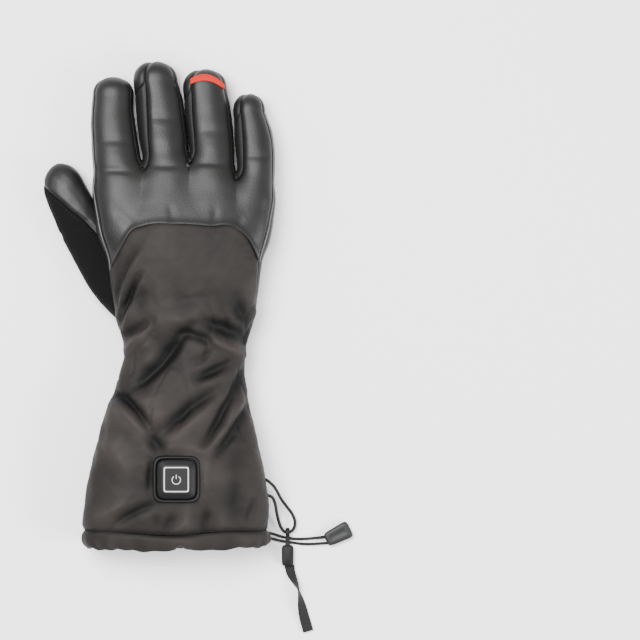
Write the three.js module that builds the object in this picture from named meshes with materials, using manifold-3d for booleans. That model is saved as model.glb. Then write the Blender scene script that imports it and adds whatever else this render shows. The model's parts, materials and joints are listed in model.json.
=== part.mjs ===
// A heated gauntlet glove for the right hand, lying on its palm.
// Millimetres. +X is the little-finger side, +Y points to the fingertips, +Z is the back of the hand.
// The shell is lofted hollow, then parted along its sewn seams into the panels that it is cut from.
import * as THREE from 'three';
import { mergeVertices } from 'three/addons/utils/BufferGeometryUtils.js';
import Module from 'manifold-3d';

const wasm = await Module();
wasm.setup();

// Driving dimensions of the glove
const TRUNK_LENGTH = 254; // hem edge to the webs between the fingers
const HEM_Y = -171.6; // the hem's edge
const TRUNK_X = 14; // the middle line that the trunk's sections are measured from
const HAND_WIDTH = 125; // across the knuckles
const CUFF_WIDTH = 131.5; // across the gauntlet above its hem
const HAND_DEPTH = 48; // palm to back
const CUFF_DEPTH = 50;
const FINGER_LENGTH = 116.5; // the middle finger, from its root inside the hand
const FINGER_WIDTH = 34; // the middle finger
const FINGER_DEPTH = 30;
const FINGER_ROOT_Y = 55;
const THUMB_LENGTH = 120;
const THUMB_WIDTH = 34;
const THUMB_DEPTH = 24;
const THUMB_ROOT = new THREE.Vector2(-14, -6);
const THUMB_ANGLE = THREE.MathUtils.degToRad(29.6); // from +Y towards -X
const THUMB_BOW = 4; // how far the thumb bows outwards
const HAND_WALL = 3.5; // padded leather
const CUFF_WALL = 3; // padded textile
const SEAM_GAP = 0.3; // between panels and between pieces
const FOLD_DEPTH = 4;
const FOLD_WIDTH = 7;
const WEB_LIFT = 14; // how far the highest web stands above the trunk's end
const HEM_PUCKER = 1.6; // how far the hem's edge waves
const HEM_WAVES = 9;

// Seams
const SIDE_SEAM_HEIGHT = 24.5; // back to palm, along the sides of the hand
const FINGER_SEAM_DROP = 10.5; // how much lower that seam lies at the fingertips
const FOURCHETTE_WIDTH = 6.5; // the strip between two fingers
const TIP_WRAP = 9; // the back wraps round each fingertip by this much
const HEM_WIDTH = 15; // the channel of the hem
const PALM_END = 141; // hem to the end of the palm's leather
const GATHER_LENGTH = 21; // the elastic band across the wrist
const GATHER_DEPTH = 1.5;
const GATHER_COUNT = 12;

// Heat control
const BUTTON_X = 14.5;
const BUTTON_Y = -121;
const SURROUND_SIZE = 32.6;
const SURROUND_HEIGHT = 3.2;
const BUTTON_SIZE = 27.6;
const BUTTON_HEIGHT = 4.8;
const CORNER_SHARE = 0.2; // corner radius over the size
const FRAME_SIZE = 17.5; // the light line on the button
const FRAME_LINE = 1.3;
const FRAME_HEIGHT = 0.5;

// Trim on the fingertips and the label
const BAND_WIDTH = 4.2;
const BAND_PROUD = 0.9;
const BAND_BACK = 4.9; // ring fingertip to the band's far edge
const BAND_SHIFT = 3.9; // towards the little finger
const BAND_ARC = 16.2; // radius of the band's curve, seen from above
const BAND_REACH = 52; // degrees of that curve, each way
const PATCH_LENGTH = 28;
const PATCH_BACK = 9.5; // index fingertip to the patch
const PATCH_HEIGHT = 7;
const PATCH_PROUD = 0.8;
const LABEL_WIDTH = 15;
const LABEL_HEIGHT = 16;
const LABEL_THICKNESS = 0.8;
const LABEL_Y = -60;

// Leash and cords
const LOOP_DIAMETER = 2.2;
const CORD_DIAMETER = 2;
const CORD_SIDES = 8;
const STRAP_WIDTH = 7.4;
const STRAP_THICKNESS = 1.2;
const KEEPER_WIDTH = 8.4;
const KEEPER_LENGTH = 14.4;
const KEEPER_THICKNESS = 5;
const KEEPER_TOP_Y = -169.6;
const KEEPER_X = 91.1;
const EYE_WIDTH = 3; // the eye that the loop runs through
const EYE_HOLE = 2.4;
const EYE_WALL = 0.85;
const PULL_LENGTH = 17.4;
const PULL_WIDTH = 10.4;
const PULL_THICKNESS = 5.2;
const PULL_FLARE = 1.1; // how much wider each side is at the far end
const FLOOR_GAP = 0.3; // under what lies loose beside the glove

const TAU = Math.PI * 2;

// Sections of the trunk, hem to webs. along is a share of the trunk's length, left and right are shares
// of the named width, under and over are shares of the named depth, power is the squareness.
const TRUNK = [
  { along: 0.0, width: CUFF_WIDTH, left: -0.45, right: 0.45, depth: CUFF_DEPTH, under: 0.04, over: 0.8, power: 2.3 },
  { along: 0.021, width: CUFF_WIDTH, left: -0.488, right: 0.476, depth: CUFF_DEPTH, under: -0.01, over: 0.87, power: 2.4 },
  { along: 0.063, width: CUFF_WIDTH, left: -0.506, right: 0.487, depth: CUFF_DEPTH, under: -0.02, over: 0.92, power: 2.4 },
  { along: 0.126, width: CUFF_WIDTH, left: -0.498, right: 0.494, depth: CUFF_DEPTH, under: -0.02, over: 0.98, power: 2.4 },
  { along: 0.209, width: CUFF_WIDTH, left: -0.468, right: 0.464, depth: CUFF_DEPTH, under: -0.02, over: 1.0, power: 2.4 },
  { along: 0.291, width: CUFF_WIDTH, left: -0.426, right: 0.43, depth: CUFF_DEPTH, under: -0.02, over: 1.0, power: 2.4 },
  { along: 0.374, width: CUFF_WIDTH, left: -0.38, right: 0.392, depth: CUFF_DEPTH, under: -0.01, over: 0.98, power: 2.4 },
  { along: 0.447, width: CUFF_WIDTH, left: -0.335, right: 0.373, depth: CUFF_DEPTH, under: 0.04, over: 0.94, power: 2.3 },
  { along: 0.499, width: CUFF_WIDTH, left: -0.289, right: 0.365, depth: CUFF_DEPTH, under: 0.1, over: 0.9, power: 2.2 },
  { along: 0.541, width: CUFF_WIDTH, left: -0.272, right: 0.373, depth: CUFF_DEPTH, under: 0.13, over: 0.88, power: 2.2 },
  { along: 0.577, width: HAND_WIDTH, left: -0.312, right: 0.4, depth: HAND_DEPTH, under: 0.1, over: 0.93, power: 2.3 },
  { along: 0.624, width: HAND_WIDTH, left: -0.344, right: 0.432, depth: HAND_DEPTH, under: 0.03, over: 0.95, power: 2.4 },
  { along: 0.686, width: HAND_WIDTH, left: -0.364, right: 0.444, depth: HAND_DEPTH, under: -0.02, over: 0.97, power: 2.5 },
  { along: 0.769, width: HAND_WIDTH, left: -0.384, right: 0.468, depth: HAND_DEPTH, under: -0.03, over: 1.0, power: 2.5 },
  { along: 0.852, width: HAND_WIDTH, left: -0.404, right: 0.492, depth: HAND_DEPTH, under: -0.03, over: 1.0, power: 2.5 },
  { along: 0.935, width: HAND_WIDTH, left: -0.436, right: 0.522, depth: HAND_DEPTH, under: -0.01, over: 0.94, power: 2.5 },
  { along: 0.976, width: HAND_WIDTH, left: -0.452, right: 0.526, depth: HAND_DEPTH, under: 0.05, over: 0.84, power: 2.4 },
  { along: 1.0, width: HAND_WIDTH, left: -0.43, right: 0.5, depth: HAND_DEPTH, under: 0.2, over: 0.68, power: 2.2 },
];

// The webs between the fingers. x is a share of the hand's width, lift a share of WEB_LIFT.
const WEBS = [
  { x: -0.48, lift: 0.1 },
  { x: -0.2, lift: 0.7 },
  { x: 0.056, lift: 1.0 },
  { x: 0.328, lift: 0.15 },
  { x: 0.54, lift: -0.4 },
];

// Folds and dents of the cloth. x is a share of the hand's width, along a share of the trunk's length,
// height a share of FOLD_DEPTH and width a share of FOLD_WIDTH.
const FOLDS = [
  { name: 'wrist ridge, left', x0: 0.048, along0: 0.596, x1: -0.16, along1: 0.512, height: 0.7, width: 1.0 },
  { name: 'wrist ridge, right', x0: 0.048, along0: 0.596, x1: 0.256, along1: 0.559, height: 0.6, width: 0.9 },
  { name: 'wrist valley, left', x0: -0.03, along0: 0.56, x1: -0.235, along1: 0.459, height: -0.9, width: 0.85 },
  { name: 'wrist valley, right', x0: 0.3, along0: 0.525, x1: 0.08, along1: 0.47, height: -0.9, width: 0.85 },
  { name: 'wrist dent, left', x0: -0.304, along0: 0.588, x1: -0.272, along1: 0.539, height: -1.0, width: 1.1 },
  { name: 'wrist dent, right', x0: 0.34, along0: 0.61, x1: 0.288, along1: 0.567, height: -1.0, width: 1.1 },
  { name: 'cuff valley, outer', x0: 0.365, along0: 0.446, x1: 0.149, along1: 0.319, height: -0.8, width: 0.9 },
  { name: 'cuff valley, inner', x0: 0.202, along0: 0.441, x1: -0.064, along1: 0.344, height: -0.75, width: 0.9 },
  { name: 'cuff ridge', x0: 0.288, along0: 0.46, x1: 0.05, along1: 0.362, height: 0.65, width: 0.8 },
  { name: 'cuff crease, left', x0: -0.342, along0: 0.42, x1: -0.176, along1: 0.344, height: -0.8, width: 0.8 },
  { name: 'side ridge, left', x0: -0.2, along0: 0.787, x1: -0.312, along1: 0.646, height: 0.5, width: 1.0 },
];
const PALM_FOLDS = [
  { name: 'palm-side fold', x0: 0.075, along0: 0.47, x1: 0.176, along1: 0.376, height: -0.8, width: 0.8 },
  { name: 'palm-side crease', x0: 0.031, along0: 0.32, x1: 0.008, along1: 0.197, height: -0.6, width: 0.7 },
];

// Fingers. root, middle and tip are places across the hand, shares of its width; length is a share of
// FINGER_LENGTH and width of FINGER_WIDTH.
const FINGERS = [
  { name: 'index', root: -0.34, middle: -0.372, tip: -0.366, length: 0.914, width: 0.94 },
  { name: 'middle', root: -0.076, middle: -0.094, tip: -0.16, length: 1.0, width: 1.0 },
  { name: 'ring', root: 0.192, middle: 0.186, tip: 0.115, length: 0.956, width: 0.985 },
  { name: 'little', root: 0.436, middle: 0.438, tip: 0.352, length: 0.806, width: 0.665 },
];
// One finger's sections, root to tip: width and depth shares, and the height of its middle over the floor.
const FINGER_PROFILE = [
  { along: 0.0, width: 0.78, depth: 0.86, height: 0.74 },
  { along: 0.15, width: 0.88, depth: 0.98, height: 0.71 },
  { along: 0.33, width: 0.985, depth: 1.06, height: 0.66 },
  { along: 0.41, width: 0.99, depth: 0.99, height: 0.62 },
  { along: 0.5, width: 1.0, depth: 1.02, height: 0.59 },
  { along: 0.62, width: 0.995, depth: 0.96, height: 0.55 },
  { along: 0.7, width: 0.97, depth: 0.92, height: 0.52 },
  { along: 0.82, width: 0.94, depth: 0.88, height: 0.49 },
  { along: 0.9, width: 0.86, depth: 0.82, height: 0.465 },
  { along: 0.955, width: 0.69, depth: 0.68, height: 0.45 },
  { along: 0.985, width: 0.46, depth: 0.48, height: 0.44 },
  { along: 1.0, width: 0.2, depth: 0.24, height: 0.43 },
];
// The thumb's sections, root to tip.
const THUMB_PROFILE = [
  { along: 0.0, width: 0.8, depth: 0.8, height: 0.62 },
  { along: 0.12, width: 0.98, depth: 0.96, height: 0.56 },
  { along: 0.25, width: 1.04, depth: 1.0, height: 0.52 },
  { along: 0.42, width: 1.0, depth: 1.0, height: 0.5 },
  { along: 0.6, width: 0.95, depth: 1.0, height: 0.5 },
  { along: 0.78, width: 0.88, depth: 0.98, height: 0.5 },
  { along: 0.88, width: 0.82, depth: 0.92, height: 0.5 },
  { along: 0.945, width: 0.66, depth: 0.74, height: 0.5 },
  { along: 0.982, width: 0.43, depth: 0.5, height: 0.5 },
  { along: 1.0, width: 0.16, depth: 0.24, height: 0.5 },
];

// The arched seam across the back of the hand: x as a share of the hand's width, along of the trunk's length.
const ARCH = [
  { x: -0.5, along: 0.72 },
  { x: -0.384, along: 0.769 },
  { x: -0.328, along: 0.823 },
  { x: -0.266, along: 0.876 },
  { x: -0.188, along: 0.894 },
  { x: -0.008, along: 0.899 },
  { x: 0.162, along: 0.894 },
  { x: 0.352, along: 0.879 },
  { x: 0.4, along: 0.852 },
  { x: 0.451, along: 0.799 },
  { x: 0.56, along: 0.72 },
];
// The crescent seam round the base of the thumb, on the palm, in the same shares.
const CRESCENT = [
  { x: -0.536, along: 1.085 },
  { x: -0.484, along: 1.0 },
  { x: -0.41, along: 0.935 },
  { x: -0.3, along: 0.88 },
  { x: -0.22, along: 0.845 },
  { x: -0.165, along: 0.8 },
  { x: -0.152, along: 0.75 },
  { x: -0.165, along: 0.69 },
  { x: -0.216, along: 0.643 },
  { x: -0.32, along: 0.617 },
  { x: -0.52, along: 0.6 },
];
// The hem's seam, the same way.
const HEM_SEAM = [
  { x: -0.75, rise: 1.0 },
  { x: -0.42, rise: 1.0 },
  { x: -0.22, rise: 0.92 },
  { x: 0.1, rise: 0.78 },
  { x: 0.42, rise: 1.0 },
  { x: 0.75, rise: 1.0 },
];

// Routes of the leash loop and the hem cords, chosen along the floor beside the cuff.
const LOOP_ROUTE = [
  [77.4, -123.2, 24], [80.6, -126.0, 22.4], [83.8, -131.0, 15.5], [86.8, -137, 8.5], [90.6, -142.4, 4.4],
  [94.2, -147.4, 3.5], [96.1, -152.2, 3.5], [95.9, -156.4, 3.6], [94, -159.4, 3.6], [91.2, -160.4, 3.6],
  [88.4, -159.6, 3.6], [86.4, -157, 3.7], [84.9, -153, 4.6], [83.8, -148, 8.5], [82.9, -142, 15],
  [82, -137.8, 20.5], [80.3, -134.6, 24],
];
const UPPER_ROUTE = [
  [75.2, -160.3, 11], [78.4, -160.8, 8.4], [81.8, -161.8, 4.6], [85, -163, 1.9], [88, -163.9, 1.15],
  [91.4, -164.6, 1.1], [96, -165.2, 1.1], [101.5, -165.3, 1.1], [107.3, -164.9, 1.2], [112.6, -164.3, 1.9],
  [117.7, -163.6, 2.8],
];
const LOWER_ROUTE = [
  [75.0, -163.6, 9.4], [78.2, -164.3, 6.6], [81.6, -165.3, 3], [84.8, -166.3, 1.4], [88, -166.9, 1.1],
  [91.4, -167.4, 1.1], [96, -168.1, 1.1], [101.5, -168.8, 1.1], [107.3, -168.9, 1.2], [113.4, -168.5, 1.9],
  [119.8, -167.9, 2.8],
];
// The strap's sections below its keeper: middle, width share and turn about its length.
const STRAP_ROUTE = [
  { x: 92.5, y: -184.7, width: 0.95, turn: 0 },
  { x: 93.1, y: -188.2, width: 0.9, turn: 12 },
  { x: 94.6, y: -191.8, width: 0.88, turn: 32 },
  { x: 96.4, y: -195.4, width: 0.88, turn: 54 },
  { x: 98.1, y: -199.2, width: 0.88, turn: 76 },
  { x: 99.3, y: -203.2, width: 0.88, turn: 98 },
  { x: 100.2, y: -207.4, width: 0.9, turn: 120 },
  { x: 101.1, y: -212.4, width: 0.93, turn: 142 },
  { x: 102.2, y: -217.8, width: 0.97, turn: 162 },
  { x: 103.8, y: -224, width: 1, turn: 176 },
  { x: 105.6, y: -230.6, width: 1, turn: 180 },
];
const PULL_START = new THREE.Vector2(119.6, -165.4); // the middle of the cord pull's near end
const PULL_ANGLE = THREE.MathUtils.degToRad(26.5);

// A smooth value of one column of a table at a share along it.
function smooth(table, column, at, key = 'along') {
  const last = table.length - 1;
  const place = THREE.MathUtils.clamp(at, table[0][key], table[last][key]);
  let i = 0;
  while (i < last - 1 && place > table[i + 1][key]) {
    i += 1;
  }
  const value = (j) => table[THREE.MathUtils.clamp(j, 0, last)][column];
  const where = (j) => table[THREE.MathUtils.clamp(j, 0, last)][key];
  const slope = (j) => (value(j + 1) - value(j - 1)) / Math.max(where(j + 1) - where(j - 1), 1e-9);
  const span = where(i + 1) - where(i);
  const t = (place - where(i)) / span;
  const rise = t * t * (3 - 2 * t);
  return value(i) * (1 - rise) + value(i + 1) * rise
    + span * (slope(i) * t * (1 - t) ** 2 - slope(i + 1) * t * t * (1 - t));
}

// The signed power that squares off an ellipse.
function squared(value, power) {
  return Math.sign(value) * Math.abs(value) ** (2 / power);
}

function xOf(share) {
  return TRUNK_X + share * HAND_WIDTH;
}

function yOf(along) {
  return HEM_Y + along * TRUNK_LENGTH;
}

// How high the folds lift the cloth at one place.
function foldHeight(folds, x, y) {
  let height = 0;
  for (const fold of folds) {
    const start = new THREE.Vector3(xOf(fold.x0), yOf(fold.along0), 0);
    const end = new THREE.Vector3(xOf(fold.x1), yOf(fold.along1), 0);
    const place = new THREE.Vector3(x, y, 0);
    const nearest = new THREE.Line3(start, end).closestPointToPoint(place, true, new THREE.Vector3());
    const away = nearest.distanceTo(place) / (fold.width * FOLD_WIDTH);
    height += fold.height * FOLD_DEPTH * Math.exp(-away * away);
  }
  return height;
}

// The trunk's section at a share of its length.
function trunkSection(along) {
  const at = (column) => smooth(TRUNK, column, along);
  const left = at('left') * at('width');
  const right = at('right') * at('width');
  const under = at('under') * at('depth');
  const over = at('over') * at('depth');
  return {
    middle: TRUNK_X + (left + right) / 2,
    halfWidth: (right - left) / 2,
    height: (under + over) / 2,
    halfDepth: (over - under) / 2,
    power: at('power'),
  };
}

// A point of the trunk's skin, moved outwards by grow. The palm is flat where it lies on the floor.
function trunkPoint(along, angle, grow) {
  const section = trunkSection(along);
  const across = squared(Math.cos(angle), section.power);
  const up = squared(Math.sin(angle), section.power);
  const x = section.middle + (section.halfWidth + grow) * across;
  const nearTop = THREE.MathUtils.smoothstep(along, 0.86, 1);
  const nearHem = 1 - THREE.MathUtils.smoothstep(along, 0, 0.05);
  const lift = WEB_LIFT * smooth(WEBS, 'lift', (x - TRUNK_X) / HAND_WIDTH, 'x');
  const y = yOf(along) + nearTop * (lift + grow)
    + nearHem * HEM_PUCKER * Math.cos(HEM_WAVES * angle);
  const height = section.height + (section.halfDepth + grow) * up;
  const fold = up > 0 ? foldHeight(FOLDS, x, y) : -foldHeight(PALM_FOLDS, x, y);
  return new THREE.Vector3(x, y, Math.max(height + fold * Math.abs(up), -grow));
}

// The middle line of a finger across the hand: a curve through its root, middle and tip.
const BEND_AT = 0.6; // where the middle value holds
function fingerMiddle(finger, t) {
  return xOf(
    (finger.root * (t - BEND_AT) * (t - 1)) / BEND_AT
    + (finger.middle * t * (1 - t)) / (BEND_AT * (1 - BEND_AT))
    + (finger.tip * t * (t - BEND_AT)) / (1 - BEND_AT),
  );
}

// A point of a finger's skin.
const TUBE_POWER = 2.2;
function fingerPoint(finger, along, angle, grow) {
  const at = (column) => smooth(FINGER_PROFILE, column, along);
  const halfWidth = Math.max((finger.width * FINGER_WIDTH * at('width')) / 2 + grow, SEAM_GAP);
  const halfDepth = Math.max((FINGER_DEPTH * at('depth')) / 2 + grow, SEAM_GAP);
  return new THREE.Vector3(
    fingerMiddle(finger, along) + halfWidth * squared(Math.cos(angle), TUBE_POWER),
    FINGER_ROOT_Y + along * (finger.length * FINGER_LENGTH + grow),
    Math.max(FINGER_DEPTH * at('height') + halfDepth * squared(Math.sin(angle), TUBE_POWER), -grow),
  );
}

// The thumb's middle line: its place along, away from and up from the root.
const THUMB_ALONG = new THREE.Vector2(-Math.sin(THUMB_ANGLE), Math.cos(THUMB_ANGLE));
const THUMB_ACROSS = new THREE.Vector2(Math.cos(THUMB_ANGLE), Math.sin(THUMB_ANGLE));

function thumbPlace(along, across) {
  return THUMB_ROOT.clone().addScaledVector(THUMB_ALONG, along).addScaledVector(THUMB_ACROSS, across);
}

// A point of the thumb's skin.
function thumbPoint(along, angle, grow) {
  const at = (column) => smooth(THUMB_PROFILE, column, along);
  const halfWidth = Math.max((THUMB_WIDTH * at('width')) / 2 + grow, SEAM_GAP);
  const halfDepth = Math.max((THUMB_DEPTH * at('depth')) / 2 + grow, SEAM_GAP);
  const bow = -THUMB_BOW * Math.sin(Math.PI * along);
  const place = thumbPlace(
    along * (THUMB_LENGTH + grow),
    bow + halfWidth * squared(Math.cos(angle), TUBE_POWER),
  );
  const height = THUMB_DEPTH * at('height') + halfDepth * squared(Math.sin(angle), TUBE_POWER);
  return new THREE.Vector3(place.x, place.y, Math.max(height, -grow));
}

// A closed geometry through rings of points, each end closed by a fan.
function loft(rings) {
  const sides = rings[0].length;
  const points = rings.flat();
  const faces = [];
  for (let r = 0; r < rings.length - 1; r += 1) {
    for (let i = 0; i < sides; i += 1) {
      const a = r * sides + i;
      const b = r * sides + ((i + 1) % sides);
      faces.push(a, b, b + sides, a, b + sides, a + sides);
    }
  }
  const close = (ring, first, outward) => {
    const middle = points.length;
    points.push(ring.reduce((sum, p) => sum.add(p), new THREE.Vector3()).divideScalar(sides));
    for (let i = 0; i < sides; i += 1) {
      const next = first + ((i + 1) % sides);
      faces.push(middle, outward ? first + i : next, outward ? next : first + i);
    }
  };
  close(rings[0], 0, false);
  close(rings[rings.length - 1], (rings.length - 1) * sides, true);
  let volume = 0;
  for (let f = 0; f < faces.length; f += 3) {
    volume += points[faces[f]].dot(points[faces[f + 1]].clone().cross(points[faces[f + 2]]));
  }
  if (volume < 0) {
    faces.reverse();
  }
  const geometry = new THREE.BufferGeometry().setFromPoints(points);
  geometry.setIndex(faces);
  return geometry;
}

// A tube whose point function takes a share of its length and an angle.
function tube(point, alongs, sides) {
  const turn = (i) => ((i + 0.5) / sides) * TAU;
  return loft(alongs.map((along) => Array.from({ length: sides }, (_, i) => point(along, turn(i)))));
}

function steps(from, to, count) {
  return Array.from({ length: count + 1 }, (_, i) => from + ((to - from) * i) / count);
}

// A manifold solid from a closed geometry.
function solid(geometry) {
  const bare = geometry.clone();
  bare.deleteAttribute('normal');
  bare.deleteAttribute('uv');
  const merged = mergeVertices(bare, 1e-4);
  return new wasm.Manifold(new wasm.Mesh({
    numProp: 3,
    vertProperties: new Float32Array(merged.attributes.position.array),
    triVerts: new Uint32Array(merged.index.array),
  }));
}

function join(solids) {
  return solids.reduce((whole, next) => whole.add(next));
}

const MERGE_WITHIN = 0.15; // points nearer than this in a plane are one
function geometryOf(body) {
  const mesh = body.simplify(MERGE_WITHIN).getMesh();
  const geometry = new THREE.BufferGeometry();
  geometry.setAttribute('position', new THREE.BufferAttribute(new Float32Array(mesh.vertProperties), 3));
  geometry.setIndex(new THREE.BufferAttribute(new Uint32Array(mesh.triVerts), 1));
  return geometry;
}

// The largest of the bodies that a cut leaves.
function largest(body) {
  return body.decompose().sort((a, b) => b.volume() - a.volume())[0];
}

const glove = new THREE.Group();

function add(name, body, look) {
  const geometry = body instanceof THREE.BufferGeometry ? body : geometryOf(body);
  const mesh = new THREE.Mesh(geometry, new THREE.MeshStandardMaterial(look));
  mesh.name = name;
  glove.add(mesh);
  return mesh;
}

const LEATHER = { color: 0x3c3c3a, roughness: 0.42, metalness: 0 };
const TEXTILE = { color: 0x4b4644, roughness: 0.7, metalness: 0 };
const SOFTSHELL = { color: 0x151515, roughness: 0.9, metalness: 0 };
const RUBBER = { color: 0x1b1b1c, roughness: 0.5, metalness: 0 };
const LIGHT_LINE = { color: 0xbfbfbf, roughness: 0.4, metalness: 0 };
const CORAL = { color: 0xf06450, roughness: 0.6, metalness: 0 };
const LABEL_RED = { color: 0xc22a30, roughness: 0.8, metalness: 0 };
const ELASTIC = { color: 0x2d2f2d, roughness: 0.8, metalness: 0 };
const PLASTIC = { color: 0x3a3d3b, roughness: 0.45, metalness: 0 };

// The whole skin: everything outside, less everything inside
const TRUNK_ROWS = 27;
const TRUNK_SIDES = 36;
const TUBE_SIDES = 16;
const INNER_ROWS = 12;
const INNER_SIDES = 18;
const INNER_TUBE_SIDES = 10;

function trunkSolid(grow, rows = TRUNK_ROWS, sides = TRUNK_SIDES, start = 0) {
  return solid(tube((along, angle) => trunkPoint(along, angle, grow), steps(start, 1, rows), sides));
}

function fingerSolid(finger, grow, sides = TUBE_SIDES) {
  const alongs = FINGER_PROFILE.map((row) => row.along);
  return solid(tube((along, angle) => fingerPoint(finger, along, angle, grow), alongs, sides));
}

function thumbSolid(grow, sides = TUBE_SIDES) {
  const alongs = THUMB_PROFILE.map((row) => row.along);
  return solid(tube((along, angle) => thumbPoint(along, angle, grow), alongs, sides));
}

const OPEN_END = -0.03; // the hollow runs out past the hem by this share
const outer = join([trunkSolid(0), ...FINGERS.map((finger) => fingerSolid(finger, 0)), thumbSolid(0)]);
const inner = join([
  trunkSolid(-CUFF_WALL, INNER_ROWS, INNER_SIDES, OPEN_END),
  ...FINGERS.map((finger) => fingerSolid(finger, -HAND_WALL, INNER_TUBE_SIDES)),
  thumbSolid(-HAND_WALL, INNER_TUBE_SIDES),
]);
const skin = outer.subtract(inner);

// Seam cuts: thin sheets one gap thick. A fence stands on a line seen from above.
function fence(line, low, high) {
  const rings = line.map((point, i) => {
    const before = line[Math.max(i - 1, 0)];
    const after = line[Math.min(i + 1, line.length - 1)];
    const way = after.clone().sub(before).normalize();
    const side = new THREE.Vector2(-way.y, way.x).multiplyScalar(SEAM_GAP / 2);
    return [[1, low], [1, high], [-1, high], [-1, low]].map(
      ([hand, z]) => new THREE.Vector3(point.x + hand * side.x, point.y + hand * side.y, z),
    );
  });
  return solid(loft(rings));
}

// A shelf lies along Y between two middle lines; each row is { y, z, from, to }.
function shelf(rows) {
  const rings = rows.map((row, i) => {
    const before = rows[Math.max(i - 1, 0)];
    const after = rows[Math.min(i + 1, rows.length - 1)];
    const way = new THREE.Vector2(after.y - before.y, after.z - before.z).normalize();
    const lift = new THREE.Vector2(-way.y, way.x).multiplyScalar(SEAM_GAP / 2);
    return [[row.from, 1], [row.to, 1], [row.to, -1], [row.from, -1]].map(
      ([x, hand]) => new THREE.Vector3(x, row.y + hand * lift.x, row.z + hand * lift.y),
    );
  });
  return solid(loft(rings));
}

// The height of the seam between back and palm: level along the hand, falling along the fingers.
const FARTHEST_Y = FINGER_ROOT_Y + FINGER_LENGTH;
function seamHeight(y) {
  return SIDE_SEAM_HEIGHT - FINGER_SEAM_DROP * THREE.MathUtils.smoothstep(y, FINGER_ROOT_Y, FARTHEST_Y);
}

// The line between two neighbouring fingers, or beside an outer one, where the seams of one finger end.
const OUTSIDE = 5;
function sideOf(finger, y, hand) {
  const along = THREE.MathUtils.clamp((y - FINGER_ROOT_Y) / (finger.length * FINGER_LENGTH), 0, 1);
  const halfWidth = (finger.width * FINGER_WIDTH * smooth(FINGER_PROFILE, 'width', along)) / 2;
  return fingerMiddle(finger, along) + hand * halfWidth;
}

function laneEdge(index, y) {
  if (index < 0) {
    return sideOf(FINGERS[0], y, -1) - OUTSIDE;
  }
  if (index >= FINGERS.length - 1) {
    return sideOf(FINGERS[FINGERS.length - 1], y, 1) + OUTSIDE;
  }
  return (sideOf(FINGERS[index], y, 1) + sideOf(FINGERS[index + 1], y, -1)) / 2;
}

const SEAM_START_Y = HEM_Y + HEM_WIDTH - SEAM_GAP / 3;
const SEAM_STEP = 15;
const WEB_START_Y = FINGER_ROOT_Y + 5; // the strips between the fingers start here, inside the hollow
const grid = steps(FINGER_ROOT_Y - 1, FARTHEST_Y, Math.ceil(FINGER_LENGTH / SEAM_STEP));
const BELOW_FLOOR = -6;
const cuts = [];

function fingerSeams(finger, index) {
  const tipY = FINGER_ROOT_Y + finger.length * FINGER_LENGTH;
  const wrapY = tipY - TIP_WRAP;
  const middle = (y) => fingerMiddle(finger, (y - FINGER_ROOT_Y) / (finger.length * FINGER_LENGTH));
  const seam = [...grid.filter((y) => y < wrapY - 2), wrapY].map((y) => ({
    y,
    z: seamHeight(y),
    from: laneEdge(index - 1, y) - SEAM_GAP / 2,
    to: laneEdge(index, y) + SEAM_GAP / 2,
  }));
  const last = seam[seam.length - 1];
  seam.push({ ...last, y: last.y + 1.5, z: BELOW_FLOOR });
  cuts.push(shelf(seam));
  const strip = (from, to) => {
    const rows = [...grid.filter((y) => y > WEB_START_Y && y < wrapY - 8), wrapY - 6].map((y) => ({
      y,
      z: seamHeight(y) + FOURCHETTE_WIDTH,
      from: from(y),
      to: to(y),
    }));
    const end = rows[rows.length - 1];
    rows.push({ ...end, y: wrapY - 1.5, z: seamHeight(wrapY) - 2 });
    cuts.push(shelf(rows));
  };
  if (index < FINGERS.length - 1) {
    strip(middle, (y) => laneEdge(index, y) + SEAM_GAP / 2);
  }
  if (index > 0) {
    strip((y) => laneEdge(index - 1, y) - SEAM_GAP / 2, middle);
  }
}
FINGERS.forEach(fingerSeams);

// Back to palm, from the hem to the fingers
cuts.push(shelf([SEAM_START_Y, FINGER_ROOT_Y].map((y) => ({
  y,
  z: SIDE_SEAM_HEIGHT,
  from: TRUNK_X - CUFF_WIDTH,
  to: TRUNK_X + CUFF_WIDTH,
}))));
const seamPoint = (row) => new THREE.Vector2(xOf(row.x), yOf(row.along));
const ABOVE = HAND_DEPTH * 1.5;
cuts.push(fence(ARCH.map(seamPoint), SIDE_SEAM_HEIGHT, ABOVE));
cuts.push(fence(CRESCENT.map(seamPoint), BELOW_FLOOR, SIDE_SEAM_HEIGHT));
cuts.push(fence(
  [-1, 1].map((hand) => new THREE.Vector2(TRUNK_X + hand * CUFF_WIDTH, HEM_Y + PALM_END)),
  BELOW_FLOOR,
  SIDE_SEAM_HEIGHT,
));
cuts.push(fence(
  HEM_SEAM.map((row) => new THREE.Vector2(TRUNK_X + row.x * CUFF_WIDTH, HEM_Y + row.rise * HEM_WIDTH)),
  BELOW_FLOOR,
  ABOVE,
));

// The thumb's leather meets its outer softshell on a plane that leans over the thumb
const THUMB_SPLIT_START = -5; // along the thumb from its root
const THUMB_SPLIT_ACROSS = -1.5; // at the floor, from the thumb's middle line
const THUMB_SPLIT_LEAN = 10;
const splitRows = [THUMB_SPLIT_START, THUMB_LENGTH + 2 * OUTSIDE].map((along, i) => {
  const across = THUMB_SPLIT_ACROSS - i * THUMB_WIDTH * 0.26;
  return [[0, 0], [SEAM_GAP, 0], [SEAM_GAP, 1], [0, 1]].map(([thick, level]) => {
    const place = thumbPlace(along, across + thick + level * THUMB_SPLIT_LEAN);
    return new THREE.Vector3(place.x, place.y, level ? SIDE_SEAM_HEIGHT : BELOW_FLOOR / 10);
  });
});
cuts.push(solid(loft(splitRows)));

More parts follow.
